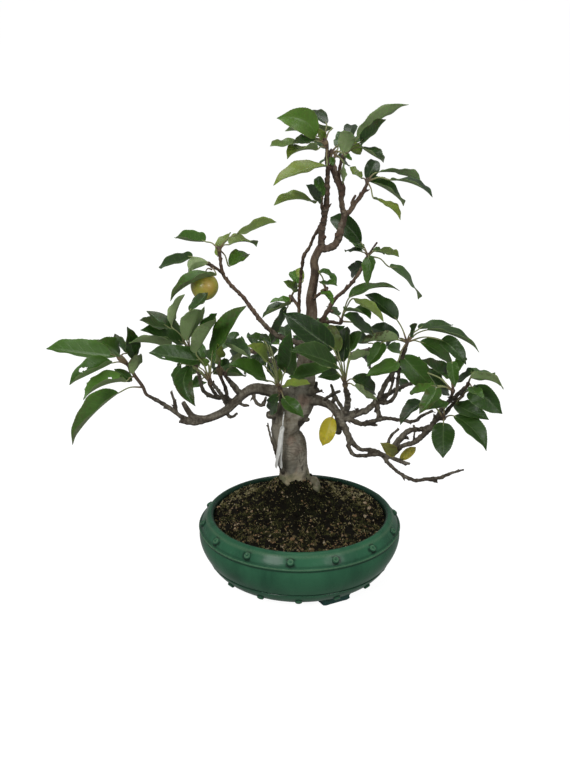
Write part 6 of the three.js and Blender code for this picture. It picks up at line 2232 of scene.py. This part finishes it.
@dataclass
class Foliage:
    """All leaves: the sprays on their shoots, and the loose leaves in colours of their own."""

    setting: Setting
    shape: LeafShape
    finish: LeafFinish = LeafFinish()
    stalk_finish: StalkFinish = StalkFinish()
    plain_grid: tuple[int, int] = (44, 10)
    bitten_grid: tuple[int, int] = (90, 26)
    gap: float = 0.35
    collar: float = 2.5
    bud: float = 1.9
    bud_tip: float = 2.2
    shoot_radius: float = 1.8
    tip_radius: float = 2.2
    spray_seed: int = 500
    lone_seed: int = 900

    def __post_init__(self) -> None:
        """Models the flat blade and mixes the two finishes."""
        self.pattern = BladePattern(self.shape, self.plain_grid)
        self.blade_material = self.finish.material()
        self.stalk_material = self.stalk_finish.material()

    def shoot(self, plan: Spray, spurs: list[Rows]) -> Rows:
        """The shoot's run from its limb's end to its bud.

        Args:
            plan: the spray.
            spurs: the points that stalks leave the shoot from.

        Returns:
            Rows of x, y, z and radius.
        """
        before, end = (self.setting.sheet.point(place) for place in LIMBS[plan.limb][-2:])
        along = unit(end - before)
        collar = end + along * (self.gap + self.collar)
        last = unit(spurs[-1] - (spurs[-2] if len(spurs) > 1 else collar))
        buds = [spurs[-1] + last * reach for reach in (self.bud, self.bud + self.bud_tip)]
        points = [end - along * 1.5, collar, *spurs[:-1], *buds]
        radii = [*np.linspace(self.shoot_radius, self.tip_radius, len(points) - 1), 0.5]
        return smooth_path(np.column_stack((np.array(points), radii)), 0.8)

    def stalk(self, pose: Pose) -> Rows:
        """A leaf's stalk, from inside its shoot to just under its blade.

        Args:
            pose: how the leaf lies.

        Returns:
            Rows of x, y, z and radius.
        """
        reach = np.linalg.norm(pose.base - pose.origin)
        bend = pose.origin * 0.5 + pose.base * 0.5 + UP * reach * 0.12
        into = pose.base + pose.axis * pose.length * 0.10 + pose.top * (pose.arch * pose.length * 0.36 - 0.2)
        rows = [pose.origin, bend, pose.base, into] if reach > 6 else [pose.origin, pose.base, into]
        radii = np.interp(np.linspace(0, 1, len(rows)), (0, 0.2, 0.8, 1), (1.15, 0.8, 0.72, 0.35)) * 1.05
        return smooth_path(np.column_stack((np.array(rows), radii)), 1.2)

    def leafy(
        self, name: str, plans: Sequence[Leaf], poses: list[Pose], shoots: list[Rows], seed: int
    ) -> Piece:
        """A piece of blades on their stalks and shoots.

        Args:
            name: the piece's name.
            plans: its leaves.
            poses: how they lie.
            shoots: the shoots that they grow on.
            seed: the draw of their irregularities.

        Returns:
            The piece.
        """
        rng = np.random.default_rng(seed)
        blades = []
        for plan, pose in zip(plans, poses):
            pattern = BladePattern(self.shape, self.bitten_grid, plan.holes) if plan.holes else self.pattern
            blades.append(pattern.bend(pose, plan, rng))
            if plan.holes:
                bpy.data.objects.remove(pattern.piece)
        leaves = join(name, blades)
        paint(leaves, self.blade_material)
        stems = tubes(name + "_stems", [*shoots, *(self.stalk(pose) for pose in poses)])
        hearts = tree_of(np.concatenate(shoots)[:, :3] if shoots else [pose.origin for pose in poses])
        away = np.array([hearts.find(Vector(p))[2] for p in points_of(stems)])
        note(stems, "wood", np.where(away < 2.7, 0.85, 0.45 * fade(away, 14, 3)))
        paint(stems, self.stalk_material, 70)
        piece = join(name, [stems, leaves])
        smooth(piece, 70)
        return piece

    def spray(self, plan: Spray, number: int) -> None:
        """Grows one spray, with its leaves lying as the solid's do.

        Args:
            plan: the spray.
            number: its place in the plan, which seeds its draws.
        """
        node = "spray_" + plan.name
        corners = self.setting.from_node(node)
        draw = seeded_numbers(self.spray_seed + number)
        spurs = [self.setting.sheet.point(place) for place in plan.shoot]
        poses = []
        for index, leaf in enumerate(plan.leaves):
            heart = spurs[-1 if leaf.spur is None else min(leaf.spur, len(spurs) - 1)]
            if leaf.root is not None:
                heart = self.setting.sheet.point(leaf.root)
            choices = self.shape.poses(leaf, index, heart, draw)
            poses.append(min(choices, key=lambda pose: corners.find(Vector(pose.tip))[2]))
        shoots = [self.shoot(plan, spurs)]
        piece = self.leafy("leaves_" + plan.name, plan.leaves, poses, shoots, self.spray_seed + number)
        self.setting.settle(piece, "leaf", node)

    def build(self) -> None:
        """Grows all leaves."""
        for number, plan in enumerate(SPRAYS):
            self.spray(plan, number)
        for number, (node, origin, leaf) in enumerate(LONE_LEAVES):
            draw = seeded_numbers(self.lone_seed + number)
            poses = self.shape.poses(leaf, number, self.setting.sheet.point(origin), draw)[:1]
            piece = self.leafy("blade_" + node, [leaf], poses, [], self.lone_seed + number)
            self.setting.settle(piece, "yellow_leaf" if node == "yellow_leaf" else "withered_leaf", node)
        bpy.data.objects.remove(self.pattern.piece)


# ---------- fruit and label


@dataclass
class Crabapple:
    """The fruit: round, a little squat, dimpled at its stalk, with the dry flower at its eye."""

    setting: Setting
    finish: AppleFinish = AppleFinish()
    stalk_finish: StalkFinish = StalkFinish()
    radius: float = 16.2
    squat: float = 0.97
    tilt: float = 0.12
    stalk_radius: float = 0.8
    place: Place = (204.5, 286.5, 46)
    stalk_places: tuple[Place, ...] = ((205.5, 272, 46), (208, 268.5, 43), (212, 269.5, 40))
    sepals: int = 5

    def flesh(self) -> Piece:
        """Turns the fruit's flesh and swells it into faint lobes.

        Returns:
            The flesh.
        """
        r, h = self.radius, self.radius * self.squat
        section = (
            (0, -h * 0.84), (r * 0.1, -h * 0.88), (r * 0.24, -h * 0.955), (r * 0.52, -h * 0.88),
            (r * 0.84, -h * 0.52), (r, 0), (r * 0.9, h * 0.46), (r * 0.6, h * 0.83), (r * 0.32, h * 0.95),
            (r * 0.12, h * 0.85), (0, h * 0.74),
        )
        piece = turned("crabapple_flesh", smooth_section(section, 0.8), 72)
        points = points_of(piece)
        angle = np.arctan2(points[:, 1], points[:, 0])
        low = fade(points[:, 2], 0, -h)
        points[:, :2] *= (1 + 0.025 * low * np.cos(5 * angle) + 0.012 * np.cos(2 * angle + 1))[:, None]
        points[:, 2] += 0.35 * np.cos(angle + 2.0) * (points[:, 2] / h)
        move(piece, points)
        note(piece, "blush", 0.62 * fade(points @ unit(np.array([0.35, -0.9, 0.2])), 8, 17))
        note(piece, "eye", fade(-points[:, 2], h * 0.9, h * 0.84) * fade(-points[:, 2], h * 0.7, h * 0.8))
        return piece

    def calyx(self) -> Piece:
        """The dry sepals at the eye.

        Returns:
            The calyx.
        """
        h = self.radius * self.squat
        strands = []
        for k in range(self.sepals):
            angle = TURN * k / self.sepals
            out = np.array([math.cos(angle), math.sin(angle), 0.0])
            steps = ((0.8, 0.84, 0.9), (1.9, 0.98, 0.7), (3.4, 1.02, 0.25))
            rows = [(*(out * reach - UP * h * drop), radius) for reach, drop, radius in steps]
            strands.append(smooth_path(np.array(rows), 0.6))
        piece = tubes("crabapple_calyx", strands, 6)
        note(piece, "blush", 0.0)
        note(piece, "eye", 1.0)
        return piece

    def build(self) -> None:
        """Hangs the fruit in the frame."""
        centre = self.setting.sheet.point(self.place)
        flesh = join("crabapple_fruit", [self.calyx(), self.flesh()])
        flesh.data.transform(Matrix.Translation(Vector(centre)) @ Matrix.Rotation(self.tilt, 4, "Y"))
        paint(flesh, self.finish.material(), 60)
        top = centre + UP * self.radius * self.squat * 0.6
        route = [top, *(self.setting.sheet.point(place) for place in self.stalk_places)]
        radii = [self.stalk_radius * share for share in (0.9, 0.8, 1, 1.5)]
        stalk = tubes("crabapple_stalk", [smooth_path(np.column_stack((np.array(route), radii)), 0.8)])
        note(stalk, "wood", 0.45)
        paint(stalk, self.stalk_finish.material(), 60)
        self.setting.settle(flesh, "fruit", "crabapple")
        self.setting.settle(stalk, "fruit", "crabapple")


@dataclass
class PlantLabel:
    """A bare strip of clear white plastic, looped over itself and hung against the trunk."""

    setting: Setting
    finish: LabelFinish = LabelFinish()
    widths: tuple[float, ...] = (5.2, 4.8)
    thickness: float = 0.5
    loop_radius: float = 0.8
    ends: tuple[tuple[Place, ...], ...] = (
        ((282.5, 426, -1), (281.2, 436, -1.5), (280.6, 446, -1), (280.4, 456, 1), (281, 468.5, 3)),
        ((282.2, 427, -1.6), (280.4, 438, -2.6), (279, 449, -2.2), (277.2, 459, -0.5), (275.8, 468, 2.6)),
    )
    loop: tuple[Place, ...] = ((282.5, 429, -1), (283, 421, -3), (283.6, 415.5, -1), (284, 412, 6))
    turns: tuple[float, ...] = (0.3, 0.55, 0.8, 1.05, 1.3)

    def strip(self, places: Sequence[Place], width: float) -> Piece:
        """One end of the label, creased and twisted as it hangs.

        Args:
            places: the way down its middle, on the sheet.
            width: its width.

        Returns:
            The strip.
        """
        fine = self.setting.path(places, self.turns, 1.0)
        last = len(fine) - 1
        bpy.ops.mesh.primitive_grid_add(x_subdivisions=last, y_subdivisions=6, size=2)
        strip = added("label_strip")
        along, across, _ = points_of(strip).T
        k = np.rint((along + 1) / 2 * last).astype(int)
        turn = fine[k, 3]
        wide = units(np.column_stack((np.cos(turn), -0.6 * np.sin(turn), np.zeros_like(turn))))
        out = np.column_stack((-wide[:, 1], wide[:, 0], np.zeros_like(turn)))
        ends = (0.55 + 0.45 * fade(k, 0, 4)) * (0.7 + 0.3 * fade(last - k, 0, 3))
        cup = 0.9 * (1 - across**2) * np.cos(k / 9.0)
        crumple = 0.35 * np.sin(k / 2.7 + 2 * across)
        points = fine[k, :3] + wide * (across * width / 2 * ends)[:, None] + out * (cup + crumple)[:, None]
        move(strip, points)
        modify(strip, "SOLIDIFY", thickness=self.thickness, offset=0.0)
        return strip

    def build(self) -> None:
        """Hangs the label in the frame."""
        loop = self.setting.path(self.loop, [self.loop_radius] * len(self.loop), 0.8)
        strips = [self.strip(places, width) for places, width in zip(self.ends, self.widths)]
        piece = join("hanging_label", [tubes("label_loop", [loop]), *strips])
        paint(piece, self.finish.material(), 50)
        self.setting.settle(piece, "label", "plant_label")


# ---------- studio


@dataclass(frozen=True)
class Lamp:
    """One soft white lamp, in metres from the pot's axis."""

    name: str
    place: Place
    size: float
    power: float


@dataclass
class Studio:
    """A pale floor, soft lamps, a white surround and the camera at the sheet's eye."""

    setting: Setting
    target: Place = (0.0, 0.0, 0.25)
    floor_size: float = 60.0
    surround: float = 0.30
    lamps: tuple[Lamp, ...] = (
        Lamp("key", (-1.0, -1.6, 1.25), 0.8, 20.0),
        Lamp("fill", (1.2, -1.4, 1.1), 0.8, 10.0),
        Lamp("top", (0.1, 0.4, 2.2), 1.3, 20.0),
    )
    sensor: float = 36.0
    picture_height: float = 760.0

    def build(self) -> None:
        """Sets the stage."""
        bpy.ops.mesh.primitive_plane_add(size=self.floor_size)
        self.dress(added("floor"), StageFinish("pale_floor", 0.18, 0.95))
        bpy.ops.mesh.primitive_uv_sphere_add(segments=48, ring_count=24, radius=self.floor_size / 2)
        self.dress(added("backdrop"), StageFinish("pale_backdrop", 0.0, 1.05))
        world = bpy.data.worlds.new("surround")
        world.use_nodes = True
        background = world.node_tree.nodes["Background"]
        background.inputs["Color"].default_value = (1.0, 1.0, 1.0, 1.0)
        background.inputs["Strength"].default_value = self.surround
        bpy.context.scene.world = world
        bpy.context.scene.view_settings.view_transform = "Standard"
        for lamp in self.lamps:
            self.hang(lamp)
        self.stand_camera()

    def dress(self, piece: Piece, finish: StageFinish) -> None:
        """Paints a piece of the stage, and keeps its glow off the tree.

        Args:
            piece: the piece.
            finish: its finish.
        """
        paint(piece, finish.material())
        piece.visible_diffuse = False
        piece.visible_glossy = False
        piece.visible_transmission = False

    def hang(self, lamp: Lamp) -> None:
        """Hangs one lamp, turned to the tree.

        Args:
            lamp: the lamp.
        """
        data = bpy.data.lights.new(lamp.name, "AREA")
        data.shape = "DISK"
        data.size = lamp.size
        data.energy = lamp.power
        light = placed(lamp.name, data)
        light.location = self.setting.axis + Vector(lamp.place)
        light.rotation_euler = (Vector(self.target) - Vector(lamp.place)).to_track_quat("-Z", "Y").to_euler()

    def stand_camera(self) -> None:
        """Stands the camera at the sheet's eye."""
        sheet = self.setting.sheet
        data = bpy.data.cameras.new("camera")
        data.sensor_width = self.sensor
        data.lens = self.sensor * sheet.focal / self.picture_height
        camera = placed("camera", data)
        camera.location = self.setting.axis + Vector(sheet.eye) * MM
        camera.rotation_euler = (math.pi / 2 - sheet.look_down, 0.0, 0.0)
        bpy.context.scene.camera = camera


def main() -> None:
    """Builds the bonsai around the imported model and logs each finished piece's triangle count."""
    logging.basicConfig(level=logging.INFO, format="%(message)s")
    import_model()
    low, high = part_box("pot")
    setting = Setting(Vector(((low.x + high.x) / 2, (low.y + high.y) / 2, low.z)))
    Studio(setting).build()
    Pot(setting).build()
    Soil(setting).build()
    Wood(setting).build()
    Foliage(setting, LeafShape(setting)).build()
    Crabapple(setting).build()
    PlantLabel(setting).build()
    for piece in setting.finished:
        triangles = sum(len(face.vertices) - 2 for face in piece.data.polygons)
        LOG.info("%s: %d triangles", piece.name, triangles)


if __name__ == "__main__":
    main()
